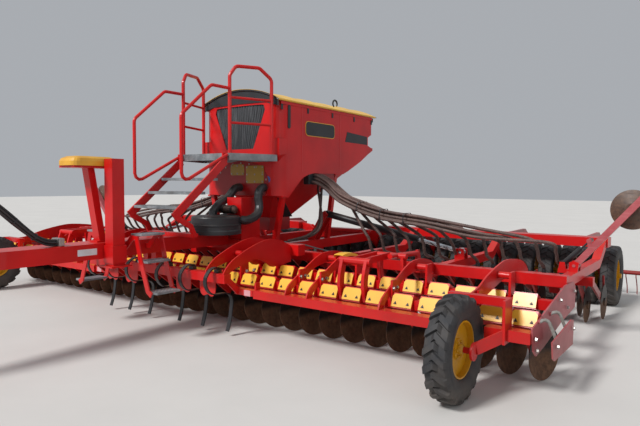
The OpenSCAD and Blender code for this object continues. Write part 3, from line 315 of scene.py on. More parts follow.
def plastic(name, colour, other, rough=0.42, dust=0.25):
    """Moulded plastic with a fine skin, a little dust lying on top."""
    f = Finish(name)
    skin = f.noise(320.0, 2.0, 0.5)
    cloud = f.noise(5.0, 3.0)
    base = tint(cloud.band(0.35, 0.7), colour, other)
    lying = f.up.band(0.2, 0.95) * f.noise(12.0, 4.0, 0.65).band(0.3, 0.8) * dust
    return f.set(
        Base_Color=tint(lying, base, (150, 138, 124)),
        Roughness=(skin * 0.15 + lying * 0.3 + rough - 0.06).clip(),
        Normal=f.bump(skin, 0.12, 0.0006),
    )


def tarp(name):
    """Coated cloth: a fine cross weave, pulled lines across the hoops and dirt in its low parts."""
    f = Finish(name)
    weave = (f.x * 2600.0).sin() * (f.y * 2600.0).sin()
    pull = f.noise(3.0, 4.0, 0.6, (1.0, 3.5, 1.0))
    dirt = f.noise(2.2, 5.0, 0.65).band(0.45, 0.8)
    base = tint(pull.band(0.35, 0.7), (238, 190, 60), (222, 168, 44))
    return f.set(
        Base_Color=tint(dirt * 0.35, base, (170, 140, 84)),
        Roughness=(dirt * 0.1 + 0.5).clip(),
        Normal=f.bump(weave * 0.05 + pull * 0.9, 0.35, 0.01),
        Sheen_Weight=0.15,
    )


def ribbed_hose(name):
    """Suction hose: brown-grey wall with a painted highlight as a pale line on each rib, from the
    UV's length.
    """
    f = Finish(name)
    along = f.parts(f.uv)[1]
    rib = ((along * (2 * math.pi / RIB_PITCH)).sin() * 0.5 + 0.5) ** 2.0
    cloud = f.noise(6.0, 4.0, 0.6)
    grain = f.noise(70.0, 3.0, 0.6)
    base = tint(cloud.band(0.35, 0.7), (58, 40, 38), (88, 64, 58))
    # Painted highlight: a pale dotted line along each rib's crest
    base = tint(rib * grain.band(0.35, 0.6) * 0.55, base, (160, 138, 128))
    dust = f.up.band(0.3, 0.95) * f.noise(14.0, 4.0, 0.65).band(0.4, 0.75)
    base = tint(dust * 0.35, base, (150, 130, 116))
    return f.set(
        Base_Color=base,
        Roughness=(grain * 0.2 + 0.38).clip(),
        Normal=f.bump(rib, 0.7, 0.002),
    )


def curtain(name):
    """Dark net cloth: a fine mesh of threads with pale dust caught along its folds."""
    f = Finish(name)
    mesh = ((f.x * 1900.0).sin() * (f.z * 1900.0).sin()).band(-0.4, 0.5)
    dust = f.noise(9.0, 5.0, 0.7, (6.0, 1.0, 0.25)).band(0.45, 0.75)
    base = tint(mesh * 0.5, (30, 32, 35), (70, 73, 78))
    return f.set(
        Base_Color=tint(dust * 0.45, base, (120, 122, 124)),
        Roughness=(mesh * 0.2 + 0.6).clip(),
        Normal=f.bump(mesh, 0.3, 0.001),
        Sheen_Weight=0.1,
    )


def blank(name, colour, rough=0.3):
    """A bare plate or label: smooth skin with fine scratches and a little dust."""
    f = Finish(name)
    scratch = f.noise(40.0, 4.0, 0.7, (1.0, 0.3, 4.0)).band(0.55, 0.8)
    dust = f.noise(11.0, 4.0, 0.6).band(0.4, 0.8)
    colour = linear(*colour)
    darker = tuple(0.6 * part for part in colour[:3]) + (1.0,)
    return f.set(
        Base_Color=tint(dust * 0.35, tint(scratch * 0.4, colour, darker), (150, 130, 112)),
        Roughness=(scratch * 0.2 + dust * 0.2 + rough).clip(),
        Normal=f.bump(f.noise(200.0, 2.0), 0.05, 0.0005),
    )


def tread_plate(name):
    """Galvanised grip plate: raised teeth in rows on the faces that look up, bright where worn."""
    f = Finish(name)
    flat = f.up.band(0.9, 0.96)
    turn = 2 * math.pi / TOOTH_PITCH
    teeth = ((f.x * turn).sin() * (f.y * turn).sin()).band(0.15, 0.6) * flat
    wear = f.noise(7.0, 4.0).band(0.4, 0.7)
    fine = f.noise(120.0, 2.0)
    base = tint(wear, (122, 128, 132), (158, 163, 166))
    base = tint(teeth * 0.6, base, (92, 96, 100))
    return f.set(
        Base_Color=tint(f.noise(3.0, 4.0).band(0.5, 0.8) * 0.4, base, (112, 96, 80)),
        Metallic=(0.6 - wear * 0.25).clip(),
        Roughness=(fine * 0.12 + teeth * 0.1 + 0.40).clip(),
        Normal=f.bump(teeth + fine * 0.1, 0.6, 0.003),
    )


# For each material slot its maker, the material's name and what else the maker takes
FINISHES = {
    "red_paint": (paint, "red paint", (206, 14, 14), (176, 10, 12), 0.12),
    "dark_red_paint": (paint, "dark red paint", (158, 14, 16), (126, 10, 14), 0.15),
    "pink_paint": (faded_paint, "faded paint"),
    "yellow_paint": (paint, "yellow paint", (240, 186, 60), (226, 168, 46), 0.08, 0.2),
    "rim_paint": (paint, "rim paint", (206, 150, 12), (186, 132, 8), 0.1, 0.3),
    "worn_steel": (soil_steel, "soil steel"),
    "bright_steel": (bare_steel, "bright steel", (176, 172, 168), 0.32),
    "chrome": (bare_steel, "chrome", (214, 216, 220), 0.12),
    "galvanised": (galvanised, "galvanised steel"),
    "tread_plate": (tread_plate, "tread plate"),
    "tyre_rubber": (rubber, "tyre rubber", 0.5),
    "black_plastic": (plastic, "black plastic", (34, 35, 38), (44, 45, 48)),
    "black_paint": (plastic, "black paint", (28, 28, 31), (38, 38, 41), 0.35),
    "yellow_plastic": (plastic, "yellow plastic", (226, 170, 52), (206, 148, 44)),
    "hose_rubber": (plastic, "hose rubber", (74, 58, 54), (92, 76, 70), 0.55, 0.4),
    "ribbed_hose": (ribbed_hose, "ribbed hose"),
    "dark_bolt": (bare_steel, "dark bolt", (70, 66, 62), 0.4),
    "dull_steel": (bare_steel, "dull steel", (112, 92, 84), 0.45),
    # A darker copy of the yellow paint, as painted shade for the hatches under the platform
    "dull_yellow": (paint, "dull yellow", (168, 140, 44), (150, 120, 40), 0.4),
    "curtain": (curtain, "curtain"),
    "blank_white": (blank, "blank white", (206, 210, 214)),
    "blank_blue": (blank, "blank blue", (40, 86, 168)),
    "reflector": (blank, "reflector", (214, 150, 158), 0.2),
    "hydraulic_rubber": (rubber, "hydraulic rubber", 0.3),
    "tarp_fabric": (tarp, "tarp fabric"),
}
END_PLATE_X = 3.994  # outer face of the plate at the end of each wing
OWN_LOOKS = {"platform": "tread_plate"}
MADE = {}


def finish(slot):
    """The finish of that name, made when it is first asked for."""
    if slot not in MADE:
        maker, *values = FINISHES[slot]
        MADE[slot] = maker(*values)
    return MADE[slot]


def dress(node):
    """Gives a CAD node the finish of its own material slot."""
    slot = next(s["material_slot"] for s in frame["record"]["subparts"] if s["node"] == node)
    mesh = NODES[node].data
    mesh.materials.clear()
    mesh.materials.append(finish(OWN_LOOKS.get(node, slot)))


# ------------------------------------------------------------------- surfaces


class Shape:
    """Points and faces of one piece, gathered part by part, in metres from the front row."""

    def __init__(self):
        self.points, self.uv, self.loops, self.sizes, self.count = [], [], [], [], 0

    def add(self, points, faces, uv=None):
        """Points and equal faces, which count the points from 0."""
        points = np.asarray(points, float).reshape(-1, 3)
        faces = np.asarray(faces)
        self.points.append(points)
        self.uv.append(np.zeros((len(points), 2)) if uv is None else np.reshape(uv, (-1, 2)))
        self.loops.append((faces + self.count).ravel())
        self.sizes.append(np.full(len(faces), faces.shape[1]))
        self.count += len(points)

    def grid(self, points, closed=False, capped=False, uv=None):
        """A quad between each four neighbours of a grid of points.

        closed joins the last point of each row to its first, and capped gives both ends one face.
        """
        points = np.asarray(points, float)
        rows, columns = points.shape[:2]
        steps = columns if closed else columns - 1
        i, j = np.meshgrid(np.arange(rows - 1), np.arange(steps), indexing="ij")
        k = (j + 1) % columns
        quads = np.stack(
            [i * columns + j, i * columns + k, (i + 1) * columns + k, (i + 1) * columns + j], -1
        )
        start = self.count
        self.add(points, quads.reshape(-1, 4), uv)
        if capped:
            ring = np.arange(columns)
            for face in (ring[::-1], (rows - 1) * columns + ring):
                self.loops.append(face + start)
                self.sizes.append(np.array([columns]))

    def mirrored(self):
        """The same on the other side of X = 0, each face turned round to point outwards."""
        other = Shape()
        other.points = [np.concatenate(self.points) * (-1.0, 1.0, 1.0)]
        other.uv = [np.concatenate(self.uv)]
        other.loops = [np.concatenate(self.loops)[::-1]]
        other.sizes = [np.concatenate(self.sizes)[::-1]]
        other.count = self.count
        return other

    def piece(self, name, slot, body, looks=None, angle=38.0):
        """The mesh as an object that rides on a body, with the finish of its slot or of looks."""
        points = np.concatenate(self.points)
        loops = np.concatenate(self.loops)
        sizes = np.concatenate(self.sizes)
        mesh = bpy.data.meshes.new(name)
        mesh.vertices.add(len(points))
        mesh.vertices.foreach_set("co", (points + (0.0, SHIFT, 0.0)).ravel())
        mesh.loops.add(len(loops))
        mesh.loops.foreach_set("vertex_index", loops.astype(np.int32))
        mesh.polygons.add(len(sizes))
        mesh.polygons.foreach_set("loop_start", (np.cumsum(sizes) - sizes).astype(np.int32))
        layer = mesh.uv_layers.new(name="UV")
        layer.data.foreach_set("uv", np.concatenate(self.uv)[loops].ravel().astype(np.float32))
        mesh.update(calc_edges=True)
        mesh.validate()
        mesh.shade_smooth()
        mesh.set_sharp_from_angle(angle=math.radians(angle))
        mesh.materials.append(finish(looks or slot))
        made = bpy.data.objects.new(name, mesh)
        bpy.context.scene.collection.objects.link(made)
        if body:
            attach(made, body)
        return made


def unit(v):
    v = np.asarray(v, float)
    return v / np.linalg.norm(v, axis=-1, keepdims=True)


def through(points, step):
    """A smooth line through the points, as points about `step` apart.

    Between each two it is the cubic whose slope at a point is half the way from the point before
    to the point after, the same curve as the source's hoses.
    """
    p = np.asarray(points, float)
    before = np.concatenate([p[:1], p[:-2]])[:, None]
    after = np.concatenate([p[2:], p[-1:]])[:, None]
    a, b = p[:-1, None], p[1:, None]
    t = np.linspace(0.0, 1.0, 24, endpoint=False)[None, :, None]
    line = 0.5 * (
        2 * a
        + (b - before) * t
        + (2 * before - 5 * a + 4 * b - after) * t**2
        + (3 * a - before - 3 * b + after) * t**3
    )
    return spaced(np.concatenate([line.reshape(-1, 3), p[-1:]]), step)


def along_line(line):
    """The length of a line up to each of its points."""
    return np.concatenate([[0.0], np.cumsum(np.linalg.norm(np.diff(line, axis=0), axis=1))])


def length_of(line):
    return float(along_line(line)[-1])


def spaced(line, step):
    """The same line with its points equally far apart, about `step`."""
    along = along_line(line)
    at = np.linspace(0.0, along[-1], max(2, int(round(along[-1] / step)) + 1))
    return np.stack([np.interp(at, along, line[:, k]) for k in range(3)], -1)


def tube(shape, line, radius, sides, away):
    """A ring round each point of a line: centre + radius * (cos a * n + sin a * b).

    n is square to the line and to `away`, which the line never follows, and b is square to both.
    radius is one number or one for each point. The UV's second number is the length so far.
    """
    line = np.asarray(line, float)
    way = unit(np.gradient(line, axis=0))
    n = unit(np.cross(way, np.asarray(away, float)))
    b = np.cross(way, n)
    a = np.linspace(0.0, 2 * math.pi, sides, endpoint=False)
    round_it = np.cos(a)[None, :, None] * n[:, None] + np.sin(a)[None, :, None] * b[:, None]
    wide = np.broadcast_to(np.asarray(radius, float), (len(line),))[:, None, None]
    along = along_line(line)
    uv = np.stack(np.broadcast_arrays(a[None, :] / (2 * math.pi), along[:, None]), -1)
    shape.grid(line[:, None] + wide * round_it, closed=True, capped=True, uv=uv)


def ring_round(axis, sides):
    """The axis at length 1, and points on a circle of radius 1 square to it."""
    axis = unit(axis)
    n = unit(np.cross(axis, (0.0, 0.0, 1.0) if abs(axis[2]) < 0.9 else (0.0, 1.0, 0.0)))
    a = np.linspace(0.0, 2 * math.pi, sides, endpoint=False)[:, None]
    return axis, np.cos(a) * n + np.sin(a) * np.cross(axis, n)


def turned(shape, profile, centre, axis, sides, capped=True):
    """A profile of (place along the axis, radius) turned round the axis through centre."""
    axis, ring = ring_round(axis, sides)
    profile = np.asarray(profile, float)[..., None, None]
    points = np.asarray(centre, float) + profile[:, 0] * axis + profile[:, 1] * ring
    shape.grid(points, closed=True, capped=capped)


def strap(shape, half, inner, outer, centre, axis, sides):
    """A flat band round the axis, as wide as twice `half`."""
    edge = [(-half, inner), (-half, outer), (half, outer), (half, inner), (-half, inner)]
    turned(shape, edge, centre, axis, sides, capped=False)


def many(shape, outline_rings, centres):
    """The same closed rings of points at each of the centres, with both ends closed."""
    for centre in np.asarray(centres, float).reshape(-1, 3):
        shape.grid(outline_rings + centre, closed=True, capped=True)


def bolt_rings(axis, size, height):
    """Rings of a hexagon head on its washer, from the washer's edge to the head's top."""
    axis, ring = ring_round(axis, 6)
    steps = ((0.0, 1.5), (0.18, 1.5), (0.19, 1.0), (0.85, 1.0), (1.0, 0.82))
    return np.stack([size * wide * ring + height * up * axis for up, wide in steps])


def rounded_outline(wide, high, radius, n=5):
    """Rounded rectangle about 0: quarter circles of points round its four corners."""
    a = np.linspace(0.0, math.pi / 2, n)
    corners = []
    for k, (sx, sy) in enumerate(((1, 1), (-1, 1), (-1, -1), (1, -1))):
        turn = a + k * math.pi / 2
        x = sx * (wide / 2 - radius) + radius * np.cos(turn)
        y = sy * (high / 2 - radius) + radius * np.sin(turn)
        corners.append(np.stack([x, y], -1))
    return np.concatenate(corners)


def plate(shape, outline, centre, across, up, thick, edge=0.0):
    """A flat plate: its outline along `across` and `up` from centre, `thick` high.

    edge draws the top in from the outline, which leaves a small chamfer.
    """
    outline = np.asarray(outline, float)
    across, up = unit(across), unit(up)
    out = np.cross(across, up)
    middle = outline.mean(0)
    inner = outline + unit(middle - outline) * edge
    rings = [(outline, 0.0), (outline, thick - edge), (inner, thick)]
    if not edge:
        rings = [(outline, 0.0), (outline, thick)]
    points = [np.asarray(centre) + o[:, :1] * across + o[:, 1:] * up + h * out for o, h in rings]
    shape.grid(np.stack(points), closed=True, capped=True)


def badge(shape, wide, high, radius, centre, thick, edge=0.0, across=(0, 1, 0)):
    """An upright plate with rounded corners, on a side wall unless `across` says otherwise."""
    plate(shape, rounded_outline(wide, high, radius), centre, across, (0, 0, 1), thick, edge)


def block(shape, low, high, edge=0.004):
    """A box with chamfered edges between two corners, standing along Z."""
    low, high = np.asarray(low, float), np.asarray(high, float)
    wide, deep = high[:2] - low[:2]
    centre = (low[:2] + high[:2]) / 2
    rings = []
    for z, less in ((low[2], edge), (low[2] + edge, 0), (high[2] - edge, 0), (high[2], edge)):
        outline = rounded_outline(wide - 2 * less, deep - 2 * less, edge, 2) + centre
        rings.append(np.column_stack([outline, np.full(len(outline), z)]))
    shape.grid(np.stack(rings), closed=True, capped=True)


# ------------------------------------------------------------------ operators


def metres(name, description, default):
    return bpy.props.FloatProperty(
        name=name, description=description, default=default, unit="LENGTH"
    )


def degrees(name, description, default):
    return bpy.props.FloatProperty(
        name=name, description=description, default=math.radians(default), subtype="ANGLE"
    )


class STAGE_PG_sizes(bpy.types.PropertyGroup):
    focal: bpy.props.FloatProperty(
        name="Focal length", description="Camera's focal length on a 36 mm wide sensor",
        default=31.376,
    )
    camera: bpy.props.FloatVectorProperty(
        name="Camera place", description="Where the camera stands", default=(5.04, -4.885, 1.54),
        subtype="TRANSLATION", unit="LENGTH",
    )
    yaw: degrees("Yaw", "Camera's turn from +Y towards -X", 36.01)
    pitch: degrees("Pitch", "Camera's tilt above the horizon", -2.90)
    roll: degrees("Roll", "Camera's turn about its own axis", 0.31)
    floor_colour: bpy.props.FloatVectorProperty(
        name="Floor colour", description="Colour of the plain floor", default=(0.62, 0.60, 0.57),
        subtype="COLOR", min=0.0, max=1.0,
    )


class DRILL_OT_stage(bpy.types.Operator):
    """Floor, soft light and the camera at the photograph's place"""

    bl_idname = "drill.stage"
    bl_label = "Stage"

    def execute(self, context):
        sizes = context.scene.drill_stage
        # Floor
        mesh = bpy.data.meshes.new("floor")
        far, below = 60.0, -0.002
        corners = [(x * far, y * far, below) for x, y in ((-1, -1), (1, -1), (1, 1), (-1, 1))]
        mesh.from_pydata(corners, [], [(0, 1, 2, 3)])
        floor = bpy.data.objects.new("floor", mesh)
        context.scene.collection.objects.link(floor)
        f = Finish("floor")
        pale = (*sizes.floor_colour, 1.0)
        cloud = f.noise(0.7, 5.0, 0.6)
        darker = tuple(0.93 * part for part in pale[:3]) + (1.0,)
        mesh.materials.append(
            f.set(Base_Color=tint(cloud.band(0.3, 0.7), pale, darker), Roughness=0.9)
        )
        # World
        world = bpy.data.worlds.new("studio")
        context.scene.world = world
        world.use_nodes = True
        world.node_tree.nodes["Background"].inputs[0].default_value = (0.86, 0.90, 0.96, 1.0)
        world.node_tree.nodes["Background"].inputs[1].default_value = 0.46
        # Two soft suns: the key from ahead of the machine leaves its near side darker
        for name, towards, strength, angle in (
            ("key", (0.30, 1.0, -0.95), 3.1, 12.0),
            ("fill", (-1.0, 0.35, -0.5), 0.35, 40.0),
        ):
            lamp = bpy.data.lights.new(name, "SUN")
            lamp.energy = strength
            lamp.angle = math.radians(angle)
            item = bpy.data.objects.new(name, lamp)
            item.rotation_euler = Vector(towards).to_track_quat("-Z", "Y").to_euler()
            context.scene.collection.objects.link(item)
        # Camera: forward from yaw and pitch, then rolled about it
        yaw, pitch, roll = sizes.yaw, sizes.pitch, sizes.roll
        forward = Vector(
            (-math.sin(yaw) * math.cos(pitch), math.cos(yaw) * math.cos(pitch), math.sin(pitch))
        )
        level = Vector((math.cos(yaw), math.sin(yaw), 0.0))
        above = level.cross(forward)
        right = level * math.cos(roll) + above * math.sin(roll)
        above = above * math.cos(roll) - level * math.sin(roll)
        lens = bpy.data.cameras.new("photo")
        lens.sensor_width = 36.0
        lens.lens = sizes.focal
        lens.clip_end = 300.0
        camera = bpy.data.objects.new("photo", lens)
        basis = Matrix((right, above, -forward)).transposed()
        camera.matrix_world = Matrix.Translation(sizes.camera) @ basis.to_4x4()
        context.scene.collection.objects.link(camera)
        context.scene.camera = camera
        context.scene.view_settings.view_transform = "Standard"
        return {"FINISHED"}


class DRILL_OT_finishes(bpy.types.Operator):
    """Each CAD node gets the finish of its own slot"""

    bl_idname = "drill.finishes"
    bl_label = "Finishes"

    def execute(self, context):
        for node in NODES:
            dress(node)
        return {"FINISHED"}


COVER_TILT = math.radians(65)
COVER_FACE = 0.0733  # from the middle of the tool's tube to the cover's face
ROW_1 = (0.09, 0.54)  # Y and Z of the front tool tube
ROW_2 = (0.54, 0.585)
TYRE_R = 0.385
RIM_R = 0.205
AXLE_Y = 3.95
FRONT_WHEEL = (3.52, -0.40)
SEED_Y, SEED_Z = 2.15, 0.6003
CENTRE_TOOLS_1 = -1.125 + 0.25 * np.arange(10)
CENTRE_TOOLS_2 = -1.25 + 0.25 * np.arange(11)
WING_TOOLS_1 = 1.375 + 0.25 * np.arange(11)
WING_TOOLS_2 = 1.5 + 0.25 * np.arange(10)
WING_ARCHES = (1.75, 2.0, 2.75, 3.5)
HOPPER_SIDE = 0.6603
HOPPER_FRONT = 1.0494
HOPPER_EDGE = (0.66, 2.5703)  # X and Z of its top edge
ROLL_X = 0.6695  # where the cover's cloth leaves its arc for the roll
SEED_FIRST, SEED_LAST = 1.45, 3.66  # X of the left side's first and last seed hose at the beam
COLUMN, LAYER = 0.043, 0.042  # between the hoses of the bundle, along Y and Z
OUTLET_BOX = (0.5610, 1.6603, 1.5430), (0.6500, 1.8497, 1.6870)
SILENCER = (0.69, 1.236)  # Y and Z of its axis


def on_both_sides(shape, name, slot, body, looks=None):
    """The left side's piece and its mirrored fellow on the right."""
    for side, half in zip(SIDES, (shape, shape.mirrored())):
        half.piece(f"{side}_{name}", slot, BASE if body == BASE else f"{side}_{body}", looks)


def thicken(made, thick):
    """Gives a cloth its thickness, towards the inside."""
    made.modifiers.new("Thickness", "SOLIDIFY").thickness = thick


def lay_hose(name, slot, looks, body, line, radius, sign=1.0, bends=False,
             away=(0.0, 1.0, 0.0)):
    """A hose along a line of the left side, or mirrored, as a piece.

    It rides on the body, or on no body when bends is set.
    """
    hose = Shape()
    tube(hose, line, radius, 10, away)
    if sign < 0:
        hose, line = hose.mirrored(), line * (-1.0, 1.0, 1.0)
    made = hose.piece(name, slot, None if bends else body, looks, 60.0)
    line = line + (0.0, SHIFT, 0.0)
    if bends:
        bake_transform(made)
    return made


class TARP_PG_sizes(bpy.types.PropertyGroup):
    rise: metres("Rise", "Height of the crown over the edges", 0.165)
    sag: metres("Sag", "Sag of the cloth between two bows", 0.016)
    bows: bpy.props.IntProperty(name="Bows", description="Bows under the cloth", default=5)
    roll: metres("Roll radius", "Radius of the roll at the near edge", 0.0105)


def tarp_arc(half, rise, inside=0.0):
    """Centre height, radius and half angle of the arc over the hopper, drawn in by `inside`."""
    radius = (half * half + rise * rise) / (2 * rise)
    centre = HOPPER_EDGE[1] - math.sqrt((radius - 0.012) ** 2 - HOPPER_EDGE[0] ** 2)
    return centre, radius - inside, math.asin(half / radius)


class DRILL_OT_tarp(bpy.types.Operator):
    """Roll cover of the hopper: cloth over bows, its roll, end panels and hooks"""

    bl_idname = "drill.tarp"
    bl_label = "Roll cover"

    def execute(self, context):
        sizes = context.scene.drill_tarp
        half, front, rear = 0.68, 1.022, 3.288
        centre, radius, turn = tarp_arc(half, sizes.rise)
        # Cloth: rows along Y. Across, it comes up the far side, goes over the arc and winds on to
        # the roll as a spiral whose radius shrinks with its turn.
        # The roll is slim and close to the hopper, because the folded cylinder passes beside it.
        a = np.linspace(-turn, math.asin(ROLL_X / radius), 41)
        arc = np.stack([radius * np.sin(a), centre + radius * np.cos(a)], -1)
        skirt = np.array([[-0.6665, 2.520], [-0.6685, 2.545]])
        b = np.linspace(math.radians(115), math.radians(-315), 30)
        grow = sizes.roll + 0.0035 * np.linspace(1.0, 0.0, 30)
        roll = arc[-1] - grow[0] * np.array([math.cos(b[0]), math.sin(b[0])])
        spiral = roll + grow[:, None] * np.stack([np.cos(b), np.sin(b)], -1)
        across = np.concatenate([skirt, arc, spiral])
        y = np.linspace(front, rear, 97)
        between = (y - front) / (rear - front) * sizes.bows
        low = np.abs(np.sin(math.pi * between)) ** 0.8
        over = np.cos(np.linspace(-1.45, 1.45, len(arc))) ** 0.5
        held = np.concatenate([np.zeros(len(skirt)), over, np.zeros(len(spiral))])
        wave = np.sin(9.0 * across[None, :, 0] + 3.0 * y[:, None])
        ripple = 0.0015 * np.sin(23.0 * y)[:, None] * wave
        points = np.empty((len(y), len(across), 3))
        points[..., 0] = across[None, :, 0]
        points[..., 1] = y[:, None]
        points[..., 2] = across[None, :, 1] - held * (sizes.sag * low[:, None] + ripple)
        cloth = Shape()
        cloth.grid(points)
        made = cloth.piece("hopper_tarp", "tarp_fabric", BASE, "tarp_fabric", 80.0)
        thicken(made, 0.0024)
        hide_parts("hopper_cover")

        # Tube inside the roll, with its end caps, and the bows under the cloth
        steel = Shape()
        ends, length = [(0.0, 0.002), (0.0, 0.0065), (0.004, 0.0075)], 2.322
        ends += [(length - along, wide) for along, wide in reversed(ends)]
        turned(steel, ends, (roll[0], 1.0, roll[1]), (0, 1, 0), 20)
        steel.piece("hopper_roll_tube", "galvanised", BASE)
        bows = Shape()
        c, r, t = tarp_arc(half, sizes.rise, 0.016)
        a = np.linspace(-t, t, 33)
        for y in np.linspace(front + 0.014, rear - 0.014, sizes.bows + 1):
            line = np.stack([r * np.sin(a), np.full(33, y), c + r * np.cos(a)], -1)
            tube(bows, line, 0.011, 10, (0, 1, 0))
        bows.piece("hopper_bows", "black_paint", BASE)

        # End panels under the first and the last bow, cut to the arc
        ends = Shape()
        top = np.stack([(r - 0.012) * np.sin(a), c + (r - 0.012) * np.cos(a)], -1)
        outline = np.concatenate([top[::-1], [(-0.655, 2.49), (-0.46, 2.548), (0.0, 2.556),
                                              (0.46, 2.548), (0.655, 2.49)]])
        outline[:33, 0] *= 0.985
        plate(ends, outline, (0, 1.046, 0), (1, 0, 0), (0, 0, 1), 0.006)
        plate(ends, outline, (0, 3.254, 0), (-1, 0, 0), (0, 0, 1), 0.006)
        ends.piece("hopper_end_panels", "black_plastic", BASE)

        # Rubber hook that holds the roll, and buckles along the edge
        hook = Shape()
        a = np.linspace(math.radians(-60), math.radians(215), 26)
        line = np.stack(
            [np.full(26, 0.7025), 2.17 - 0.05 * np.cos(a), roll[1] + 0.072 + 0.047 * np.sin(a)], -1
        )
        tube(hook, line, 0.0085 + 0.004 * np.sin(np.linspace(0, math.pi, 26)), 8, (1, 0, 0))
        for y in (1.10, 1.62, 2.17, 2.72, 3.2):
            badge(hook, 0.035, 0.10, 0.006, (0.6606, y, 2.50), 0.006, 0.002)
        hook.piece("hopper_roll_hooks", "black_plastic", BASE)
        return {"FINISHED"}


class HOSE_PG_sizes(bpy.types.PropertyGroup):
    seed_hoses: bpy.props.IntProperty(
        name="Seed hoses", description="Seed hoses to each side", default=13
    )
    seed_diameter: metres("Seed hose", "Diameter over the ribs", 0.038)
    rib: metres("Rib pitch", "Distance between two modelled ribs", 0.024)


SPINE = np.array(
    [[0.83, 1.87, 1.48], [1.12, 1.80, 1.31], [1.67, 1.75, 1.15],
     [2.34, 1.70, 1.075], [2.92, 1.70, 0.99]]
)


def seed_end(number, count):
    """X at which a seed hose of the left side comes down to its beam."""
    return SEED_FIRST + (SEED_LAST - SEED_FIRST) * number / (count - 1)


def seed_line(number, count):
    """Route of one seed hose on the left: out of the outlet box, into the bundle, down to its beam.

    The bundle is a block of hoses three high, and the first to leave it lie at its rear.
    """
    column, row = divmod(number, 3)
    end = seed_end(number, count)
    dy, dz = COLUMN * (2 - column), LAYER * row
    y0, z0 = 1.912 - 0.048 * column, 1.571 + 0.043 * row
    # The first leaves early: only the spine's points well before its end are on its way
    on_way = SPINE[SPINE[:, 0] < end - 0.2] + (0.0, dy, dz)
    wave = 0.010 * np.sin(5.0 * on_way[:, 0] + 1.7 * number)
    on_way[:, 1] += 0.6 * wave
    on_way[:, 2] += np.abs(wave)
    # Those that end short of the fold rod's fork keep low, clear of the folded cylinder
    low = [(end, 1.93, 0.77), (end, SEED_Y - 0.07, 0.70), (end, SEED_Y, 0.65)]
    if end < 2.45:
        low = [(end, 1.91, 0.745), (end, 1.99, 0.700), (end, SEED_Y - 0.05, 0.675),
               (end, SEED_Y, 0.645)]
    points = [
        (0.6503, y0, z0),
        (0.70, y0, z0),
        *on_way,
        (end - 0.06, 1.79 + dy / 2, 0.97 + 0.3 * dz),
        (end, 1.85, 0.87 + 0.2 * dz),
        *low,
        (end, SEED_Y, SEED_Z),
    ]
    return through(points, 0.012)


class DRILL_OT_seed_hoses(bpy.types.Operator):
    """Ribbed seed hoses from the outlet boxes to the wings' coulter beams, with their ties"""

    bl_idname = "drill.seed_hoses"
    bl_label = "Seed hoses"

    def execute(self, context):
        sizes = context.scene.drill_hoses
        count = sizes.seed_hoses
        lines = [seed_line(number, count) for number in range(count)]
        for side, sign in SIDES.items():
            for number, line in enumerate(lines):
                along = np.linspace(0.0, length_of(line), len(line))
                rib = 0.5 + 0.5 * np.cos(2 * math.pi * along / sizes.rib)
                made = lay_hose(
                    f"{side}_seed_hose_{number + 1:02d}", "hose_rubber", "ribbed_hose",
                    f"{side}_wing", line, sizes.seed_diameter / 2 * (0.93 + 0.07 * rib),
                    sign, bends=True,
                )
                if number == 0:
                    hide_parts(f"{side}_seed_hoses")
        # Ties: a flat band round the bundle's rounded block at some places of its spine
        ties = Shape()
        spine = through([(0.70, 1.9, 1.59), *SPINE], 0.01)
        for x in (1.38, 1.72, 2.05):
            k = int(np.argmin(np.abs(spine[:, 0] - x)))
            way = unit(spine[k + 1] - spine[k - 1])
            up = unit(np.cross(way, (0.0, 1.0, 0.0)))
            up = up if up[2] > 0 else -up
            gone = int(np.sum(seed_end(np.arange(count), count) - 0.2 < x)) // 3
            middle = spine[k] + (0.0, -COLUMN / 2 * gone, LAYER)
            outline = rounded_outline(COLUMN * (5 - gone) + 0.012, 0.140, 0.024)
            rings = []
            for along, grow in ((-0.006, 0.0), (-0.006, 0.004), (0.006, 0.004), (0.006, 0.0)):
                ring = outline + unit(outline) * grow
                across = ring[:, :1] * (0.0, 1.0, 0.0)
                rings.append(middle + along * way + across + ring[:, 1:] * up)
            ties.grid(np.stack([*rings, rings[0]]), closed=True)
        for (side, sign), shape in zip(SIDES.items(), (ties, ties.mirrored())):
            made = shape.piece(f"{side}_hose_ties", "black_plastic", None)
            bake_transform(made)
        # Sockets on the outlet box, which keeps them clear of the folded cylinder, and on the beam
        sockets, boots = Shape(), Shape()
        block(sockets, *OUTLET_BOX)
        socket = [(0.0, 0.012), (0.0, 0.023), (0.03, 0.023), (0.034, 0.020), (0.034, 0.012)]
        boot = [(0.0, 0.012), (0.0, 0.024), (0.05, 0.022), (0.054, 0.019), (0.054, 0.012)]
        for line in lines:
            turned(sockets, socket, line[0] + (GAP, 0, 0), (1, 0, 0), 12)
            turned(boots, boot, (line[-1, 0], SEED_Y, SEED_Z + GAP), (0, 0, 1), 12)
        on_both_sides(sockets, "hose_sockets", "black_plastic", BASE)
        on_both_sides(boots, "hose_boots", "black_plastic", "wing")
        return {"FINISHED"}


